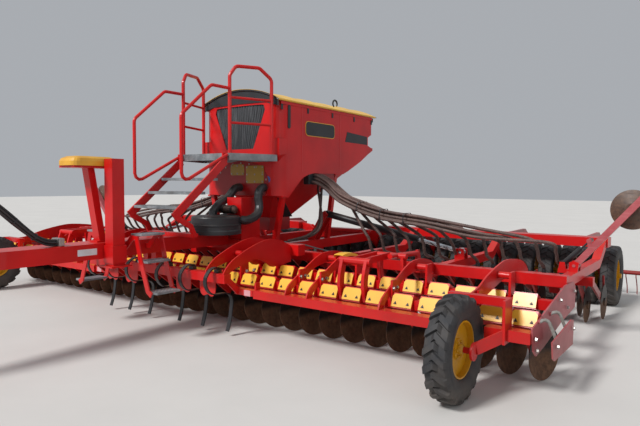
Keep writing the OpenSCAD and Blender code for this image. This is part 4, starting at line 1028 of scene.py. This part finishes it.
class DRILL_OT_frame_hoses(bpy.types.Operator):
    """Hoses down to the centre's coulters and the oil line along each main beam"""

    bl_idname = "drill.frame_hoses"
    bl_label = "Frame hoses"

    def execute(self, context):
        drops = [
            [(0.605, 1.93, 1.5397), (0.61, 1.92, 1.47), (0.70, 1.84, 1.30), (0.80, 1.74, 1.06),
             (0.78, 1.66, 0.93), (0.66, 1.60, 0.86), (0.52, 1.56, 0.82)],
            [(0.605, 2.02, 1.5397), (0.61, 2.00, 1.48), (0.68, 1.88, 1.25), (0.74, 1.74, 1.00),
             (0.70, 1.58, 0.89), (0.60, 1.48, 0.845), (0.50, 1.42, 0.815)],
        ]
        oil = [(0.90, 0.93, 0.80), (1.05, 0.955, 0.85), (1.30, 0.975, 0.815), (1.62, 0.965, 0.780),
               (2.05, 0.985, 0.780), (2.50, 0.96, 0.780)]
        for side, sign in SIDES.items():
            for number, points in enumerate(drops):
                lay_hose(f"{side}_drop_hose_{number + 1}", "hose_rubber", "ribbed_hose", BASE,
                         through(points, 0.014), 0.017, sign)
            lay_hose(f"{side}_oil_line", "hydraulic_rubber", None, f"{side}_wing",
                     through(oil, 0.014), 0.008, sign)
        return {"FINISHED"}


class DRILL_OT_hydraulic_hoses(bpy.types.Operator):
    """Hydraulic hoses along the drawbar, in a bundle with ties, between two clamp blocks"""

    bl_idname = "drill.hydraulic_hoses"
    bl_label = "Hydraulic hoses"

    def execute(self, context):
        route = [(0.06, -1.40, 0.9903), (0.06, -1.60, 1.05), (0.06, -2.00, 1.40),
                 (0.06, -2.20, 1.50), (0.06, -2.50, 1.30), (0.06, -2.80, 1.00)]
        middle = through(route, 0.01)
        way = unit(np.gradient(middle, axis=0))
        side = np.array([1.0, 0.0, 0.0])
        up = np.cross(side, way)
        part = np.linspace(0.0, 1.0, len(middle))
        # Six hoses lie round a seventh; between the ties they spread by a slow wave
        for number in range(7):
            turn = number * math.pi / 3
            reach = 0.0205 + 0.006 * np.sin(math.pi * part * 3 + number)[:, None] ** 2
            apart = reach * (math.cos(turn) * side + math.sin(turn) * up)
            line = spaced(middle + apart * (number < 6), 0.014)
            made = lay_hose(f"hydraulic_hose_{number + 1}", "hydraulic_rubber", None, BASE, line,
                            0.0098, away=side)
            if number == 0:
                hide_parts("hydraulic_hoses")
        ties = Shape()
        for place in (0.13, 0.26, 0.4, 0.52, 0.66, 0.8, 0.9):
            k = int(place * (len(middle) - 1))
            strap(ties, 0.005, 0.0315, 0.036, middle[k], way[k], 18)
        ties.piece("hydraulic_ties", "black_plastic", BASE)
        blocks = Shape()
        block(blocks, (-0.01, -1.42, 0.9606), (0.13, -1.37, 1.035))
        block(blocks, (-0.01, -2.83, 0.9606), (0.13, -2.775, 1.045))
        blocks.piece("hydraulic_blocks", "bright_steel", BASE)
        return {"FINISHED"}


def tyre_surface(shape, x, y, profile, lugs, lug_height, lug_share, slant, reach):
    """One tyre: a closed profile turned about X, with slanted lugs raised on its tread.

    A point at across c and angle a has the profile's radius plus the lug's height. The grid's
    columns are shifted by slant * |c| / radius, so that they follow the lugs' flanks, and each
    side's lugs stand half a pitch from the other's.
    """
    profile = np.asarray(profile, float)
    pitch = 2 * math.pi / lugs
    width = lug_share * pitch
    flank = 0.1 * width
    marks = np.array([0.0, flank, width - flank, width])
    a = (np.arange(2 * lugs)[:, None] * pitch / 2 + marks[None]).ravel()
    raised = np.tile([0.0, 1.0, 1.0, 0.0], 2 * lugs)
    on_left = np.repeat(np.arange(2 * lugs) % 2 == 0, 4)
    c, r, tall = profile[:, 0, None], profile[:, 1, None], profile[:, 2, None]
    here = np.where(on_left[None], c > -reach, c < reach)
    high = tall * lug_height * raised[None] * here
    turn = a[None] + slant * np.minimum(np.abs(c), 0.075) / TYRE_R
    radius = r + high
    points = np.stack(
        [x + c + 0 * turn, y - radius * np.sin(turn), TYRE_R + radius * np.cos(turn)], -1
    )
    shape.grid(np.concatenate([points, points[:1]]), closed=True)


def tyre_profile(r, w, lug):
    """Rows of across, radius and share of the lug's height, from one bead round to the other."""
    base = r - lug
    right = np.array(
        [
            (0.004, base, 1.0), (0.03, base - 0.0005, 1.0), (w - 0.035, base - 0.003, 1.0),
            (w - 0.018, base - 0.008, 1.0), (w - 0.008, base - 0.022, 0.85),
            (w - 0.003, base - 0.040, 0.0), (w, base - 0.070, 0.0), (w, RIM_R + 0.095, 0.0),
            (w - 0.003, RIM_R + 0.06, 0.0), (w - 0.010, RIM_R + 0.035, 0.0),
            (w - 0.022, RIM_R + 0.012, 0.0), (w - 0.036, RIM_R + 0.003, 0.0),
        ]
    )
    left = right[::-1] * (-1.0, 1.0, 1.0)
    return np.concatenate([left, [(0.0, base, 1.0)], right])


class DRILL_OT_tyres(bpy.types.Operator):
    """Field tread of the two support tyres and the closer tread of the packer tyres"""

    bl_idname = "drill.tyres"
    bl_label = "Tyres"

    def execute(self, context):
        deep = tyre_profile(TYRE_R, 0.093, 0.024)
        for side, sign in SIDES.items():
            shape = Shape()
            tyre_surface(shape, FRONT_WHEEL[0], FRONT_WHEEL[1], deep, 18, 0.024, 0.42, 0.78, 0.012)
            shape = shape if sign > 0 else shape.mirrored()
            made = shape.piece(
                f"{side}_support_tyre", "tyre_rubber", f"{side}_front_wheel", None, 32.0
            )
            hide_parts(f"{side}_front_tyre")
        shallow = tyre_profile(TYRE_R, 0.093, 0.011)
        for name, body, places in (
            ("centre", "centre_packer", CENTRE_TOOLS_1),
            ("left", "left_packer", WING_TOOLS_1),
            ("right", "right_packer", -WING_TOOLS_1),
        ):
            shape = Shape()
            for x in places:
                tyre_surface(shape, x, AXLE_Y, shallow, 24, 0.011, 0.46, 0.6, 0.004)
            made = shape.piece(f"{name}_packer_treads", "tyre_rubber", body, None, 32.0)
            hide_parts(f"{name}_packer_tyres")
        return {"FINISHED"}


class DRILL_OT_fasteners(bpy.types.Operator):
    """Marks and bolts of the tool covers, bolts of hangers, support wheels and arches"""

    bl_idname = "drill.fasteners"
    bl_label = "Fasteners"

    def execute(self, context):
        across = np.array([1.0, 0.0, 0.0])
        up = np.array([0.0, math.cos(COVER_TILT), math.sin(COVER_TILT)])
        out = np.cross(across, up)
        a = np.radians([90.0, 210.0, 330.0])
        mark = 0.019 * np.stack([np.cos(a), np.sin(a)], -1)
        bolt = bolt_rings(out, 0.0075, 0.007)
        for name, body, rows in (
            ("centre", BASE, ((CENTRE_TOOLS_1, ROW_1), (CENTRE_TOOLS_2, ROW_2))),
            ("left", "left_wing", ((WING_TOOLS_1, ROW_1), (WING_TOOLS_2, ROW_2))),
            ("right", "right_wing", ((-WING_TOOLS_1, ROW_1), (-WING_TOOLS_2, ROW_2))),
        ):
            marks, bolts = Shape(), Shape()
            for places, (y, z) in rows:
                for x in places:
                    for u in (-0.058, 0.058):
                        place = np.array([x + u, y, z]) + out * (COVER_FACE + 0.0002) - up * 0.026
                        plate(marks, mark, place, across, up, 0.002)
                        many(bolts, bolt, [place + out * 0.0022])
            marks.piece(f"{name}_cover_marks", "black_paint", body)
            bolts.piece(f"{name}_cover_bolts", "worn_steel", body, "dark_bolt")
        # Wings: hanger bolts beside the three inner arches, and the nuts of the support wheel
        wing = Shape()
        right_face = bolt_rings((1, 0, 0), 0.014, 0.014)
        for x in WING_ARCHES[:3]:
            many(wing, right_face, [(x + 0.0273, y, 0.66) for y in (0.058, 0.122)])
        a = np.arange(6) * math.pi / 3
        y, z = FRONT_WHEEL[1] + 0.055 * np.cos(a), TYRE_R + 0.055 * np.sin(a)
        nuts = np.stack([np.full(6, 3.552), y, z], -1)
        front = Shape()
        many(front, bolt_rings((1, 0, 0), 0.0105, 0.013), nuts)
        cap = [(0.0, 0.004), (0.0, 0.040), (0.022, 0.038), (0.034, 0.028), (0.036, 0.004)]
        turned(front, cap, (3.5525, FRONT_WHEEL[1], TYRE_R), (1, 0, 0), 20)
        on_both_sides(front, "wheel_nuts", "rim_paint", "front_wheel")
        on_both_sides(wing, "hanger_bolts", "bright_steel", "wing")
        centre = Shape()
        for x in (0.875, 1.125):
            many(centre, right_face, [(x + 0.0073, -0.01, 0.66), (x + 0.0073, 0.09, 0.655)])
        on_both_sides(centre, "arch_bolts", "bright_steel", BASE)
        return {"FINISHED"}


class DRILL_OT_wing_trim(bpy.types.Operator):
    """Yellow guard over one arch of each wing, pins of the depth levers and plate bolts"""

    bl_idname = "drill.wing_trim"
    bl_label = "Wing trim"

    def execute(self, context):
        # Guard: a strip bent over the arch, its height a parabola along Y, its edges turned down
        y = np.linspace(0.36, 0.64, 15)[:, None]
        x = np.array([-0.055, -0.052, -0.02, 0.02, 0.052, 0.055])[None]
        lip = np.array([-0.025, 0.0, 0.004, 0.004, 0.0, -0.025])[None]
        top = 0.868 - 1.1 * (y - 0.47) ** 2 + lip
        guard = Shape()
        upper = np.stack([2.0 + x + 0 * y, y + 0 * x, top], -1)
        lower = upper - (0.0, 0.0, 0.004)
        guard.grid(np.concatenate([upper, lower[:, ::-1]], 1), closed=True, capped=True)
        on_both_sides(guard, "arch_guard", "yellow_paint", "wing")
        # Bolts that hold the end plate, and those of its outer plate
        bolts = Shape()
        head = bolt_rings((1, 0, 0), 0.013, 0.014)
        spots = ((-0.10, 0.46), (-0.06, 0.37), (0.62, 0.62), (1.12, 0.62), (0.86, 0.52))
        many(bolts, head, [(END_PLATE_X + GAP, y, z) for y, z in spots])
        many(bolts, head, [(END_PLATE_X + 0.1197, y, z) for y, z in ((0.02, 0.40), (0.52, 0.43))])
        on_both_sides(bolts, "end_plate_bolts", "bright_steel", "wing")
        # Pin heads where the depth levers turn
        pins = Shape()
        many(pins, bolt_rings((1, 0, 0), 0.020, 0.016),
             [(x, 0.08, 0.86) for x in (2.2653, 2.5153)])
        on_both_sides(pins, "lever_pins", "bright_steel", "wing")
        return {"FINISHED"}


class DRILL_OT_hopper_trim(bpy.types.Operator):
    """Seams, blank plates and the curtain of the hopper"""

    bl_idname = "drill.hopper_trim"
    bl_label = "Hopper trim"

    def execute(self, context):
        side = HOPPER_SIDE
        seams = Shape()
        for y, low in ((1.495, 1.70), (2.357, 1.75)):
            points = np.empty((9, 5, 3))
            points[..., 0] = side + np.array([0, 0.0012, 0.0022, 0.0012, 0])
            points[..., 1] = y + np.array([-0.011, -0.006, 0, 0.006, 0.011])
            points[..., 2] = np.linspace(low, 2.545, 9)[:, None]
            seams.grid(points)
        # Rail along the top edge
        badge(seams, 2.14, 0.035, 0.004, (side, 2.15, 2.535), 0.007, 0.002)
        on_both_sides(seams, "hopper_seams", "red_paint", BASE)
        dark = Shape()
        badge(dark, 0.050, 0.29, 0.022, (side, 1.235, 2.375), 0.009, 0.003)
        low_plate = np.array([(2.488, 2.146), (3.087, 2.14), (3.085, 2.259), (2.538, 2.29)])
        plate(dark, low_plate, (side, 0, 0), (0, 1, 0), (0, 0, 1), 0.0025)
        badge(dark, 0.645, 0.175, 0.05, (side + 0.0024, 1.90, 2.262), 0.0016, 0.0006)
        on_both_sides(dark, "hopper_dark_plates", "black_plastic", BASE)
        pale = Shape()
        badge(pale, 0.66, 0.19, 0.055, (side, 1.90, 2.262), 0.0022, 0.0008)
        on_both_sides(pale, "hopper_pale_plates", "yellow_paint", BASE)

        # Curtain behind the front opening: hung in folds, the depth a sine across the width
        v = np.linspace(0.0, 1.0, 31)[:, None]
        u = np.linspace(-1.0, 1.0, 241)[None]
        half = 0.262 + (0.452 - 0.262) * np.minimum(v * 1.06, 1.0)
        folds = 0.5 + 0.5 * np.sin(2 * math.pi * (11.0 * u + 0.35 * np.sin(5.0 * u + 2.0 * v)))
        points = np.empty((*folds.shape, 3))
        points[..., 0] = u * half
        points[..., 1] = 1.0595 + 0.011 * folds
        points[..., 2] = 1.962 + 0.59 * v - 0.035 * (u**2) * v
        net = Shape()
        net.grid(points)
        made = net.piece("hopper_curtain", "black_plastic", BASE, "curtain", 80.0)
        thicken(made, 0.0015)
        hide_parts("hopper_net")
        return {"FINISHED"}


class DRILL_OT_front_panel(bpy.types.Operator):
    """Panel and windows below the platform, the air silencer with its straps, and blank plates"""

    bl_idname = "drill.front_panel"
    bl_label = "Front panel"

    def execute(self, context):
        across, up = (1, 0, 0), (0, 0, 1)
        # Domed panel over the two duct outlets: half an ellipse with a straight foot
        a = np.linspace(0.0, math.pi, 25)
        dome = np.stack([0.47 * np.cos(a), 0.34 * np.sin(a) ** 0.8], -1)
        dome = np.concatenate([dome, [(-0.40, -0.10), (0.40, -0.10)]])
        # The panel lies in the platform's shadow: its dark red paint, darker than the hopper's red,
        # is painted shade
        panel = Shape()
        plate(panel, dome, (0.03, HOPPER_FRONT, 1.50), across, up, 0.006, 0.002)
        panel.piece("hopper_front_panel", "dark_red_paint", BASE)
        # The hatches take a darker copy of the yellow paint as painted shade, for the platform's
        # shadow
        cover = Shape()
        badge(cover, 0.30, 0.22, 0.02, (0.27, 1.0430, 1.665), 0.004, 0.0015, across)
        badge(cover, 0.24, 0.14, 0.02, (-0.03, 1.0430, 1.725), 0.004, 0.0015, across)
        cover.piece("hopper_front_hatches", "yellow_paint", BASE, "dull_yellow")
        label = Shape()
        turned(label, [(0.0, 0.002), (0.0, 0.045), (0.0012, 0.044), (0.0012, 0.002)],
               (0.475, HOPPER_FRONT, 1.60), (0, -1, 0), 24)
        label.piece("hopper_round_label", "black_plastic", BASE, "blank_blue")
        bolts = Shape()
        spots = [(0.27 + x, 1.0390, z) for x in (-0.13, 0.0, 0.13) for z in (1.575, 1.665, 1.755)]
        spots += [(-0.03 + x, 1.0390, 1.725 + z) for x in (-0.1, 0.0, 0.1) for z in (-0.05, 0.05)]
        b = np.linspace(0.25, math.pi - 0.25, 9)
        rim = [(0.03 + 0.44 * math.cos(t), 1.0432, 1.50 + 0.31 * math.sin(t) ** 0.8) for t in b]
        many(bolts, bolt_rings((0, -1, 0), 0.008, 0.007), spots + rim)
        bolts.piece("hopper_front_bolts", "bright_steel", BASE)

        # Windows in the funnel's front, on its slope
        slope = unit(np.array([0.0, -0.399, 0.8]))
        windows = Shape()
        outline = np.array([(0.36, 0.02), (0.56, 0.04), (0.50, 0.30), (0.42, 0.36)])
        low = np.array([0.0, 1.450, 1.100]) + np.cross(across, slope) * 0.0015
        plate(windows, outline, low, across, slope, 0.003)
        plate(windows, outline[::-1] * (-1, 1), low, across, slope, 0.003)
        windows.piece("funnel_windows", "black_plastic", BASE)

        # Air silencer: a ribbed tube with domed ends, held by its strap to the tower's front
        silencer = Shape()
        z = np.linspace(0.0, 0.36, 46)
        rib = 0.050 + 0.0016 * np.cos(2 * math.pi * z / 0.024)
        near_end = np.clip(np.minimum(z, 0.36 - z) / 0.02, 0.0, 1.0)
        ends = np.sqrt(near_end * (2.0 - near_end))
        profile = np.stack([z, np.maximum(0.004, rib * ends)], -1)
        turned(silencer, profile, (-0.07, *SILENCER), (1, 0, 0), 24)
        silencer.piece("air_silencer", "bright_steel", BASE, "dull_steel")
        straps = Shape()
        for x in (0.10, 0.24):
            strap(straps, 0.010, 0.0525, 0.055, (x, *SILENCER), (1, 0, 0), 24)
            block(straps, (x - 0.012, 0.735, 1.20), (x + 0.012, 0.7497, 1.27), 0.002)
        straps.piece("silencer_straps", "black_paint", BASE)

        # Blank plates: on the drawbar's side and on the outer ends of the front boards
        labels = Shape()
        badge(labels, 0.20, 0.062, 0.006, (0.1503, -1.16, 0.885), 0.0012, 0.0004)
        on_both_sides(labels, "drawbar_plates", "bright_steel", BASE, "blank_white")
        boards = Shape()
        badge(boards, 0.085, 0.058, 0.004, (1.262, -0.1453, 0.470), 0.0014, 0.0004, across)
        on_both_sides(boards, "reflectors", "pink_paint", BASE, "reflector")
        return {"FINISHED"}


class DRILL_PT_pieces(bpy.types.Panel):
    """Lists the pieces that this file makes"""

    bl_idname = "DRILL_PT_pieces"
    bl_label = "Seed drill"
    bl_space_type = "VIEW_3D"
    bl_region_type = "UI"
    bl_category = "Seed drill"

    def draw(self, context):
        for operator in OPERATORS:
            self.layout.operator(operator.bl_idname)


OPERATORS = (
    DRILL_OT_stage,
    DRILL_OT_finishes,
    DRILL_OT_seed_hoses,
    DRILL_OT_frame_hoses,
    DRILL_OT_hydraulic_hoses,
    DRILL_OT_tarp,
    DRILL_OT_tyres,
    DRILL_OT_hopper_trim,
    DRILL_OT_front_panel,
    DRILL_OT_fasteners,
    DRILL_OT_wing_trim,
)
GROUPS = {
    "drill_stage": STAGE_PG_sizes,
    "drill_tarp": TARP_PG_sizes,
    "drill_hoses": HOSE_PG_sizes,
}
CLASSES = (*GROUPS.values(), *OPERATORS, DRILL_PT_pieces)


def register():
    for made in CLASSES:
        bpy.utils.register_class(made)
    for name, group in GROUPS.items():
        setattr(bpy.types.Scene, name, bpy.props.PointerProperty(type=group))


def unregister():
    for name in GROUPS:
        delattr(bpy.types.Scene, name)
    for made in reversed(CLASSES):
        bpy.utils.unregister_class(made)


def main():
    register()
    for operator in OPERATORS:
        family, name = operator.bl_idname.split(".")
        getattr(getattr(bpy.ops, family), name)()


if __name__ == "__main__":
    main()
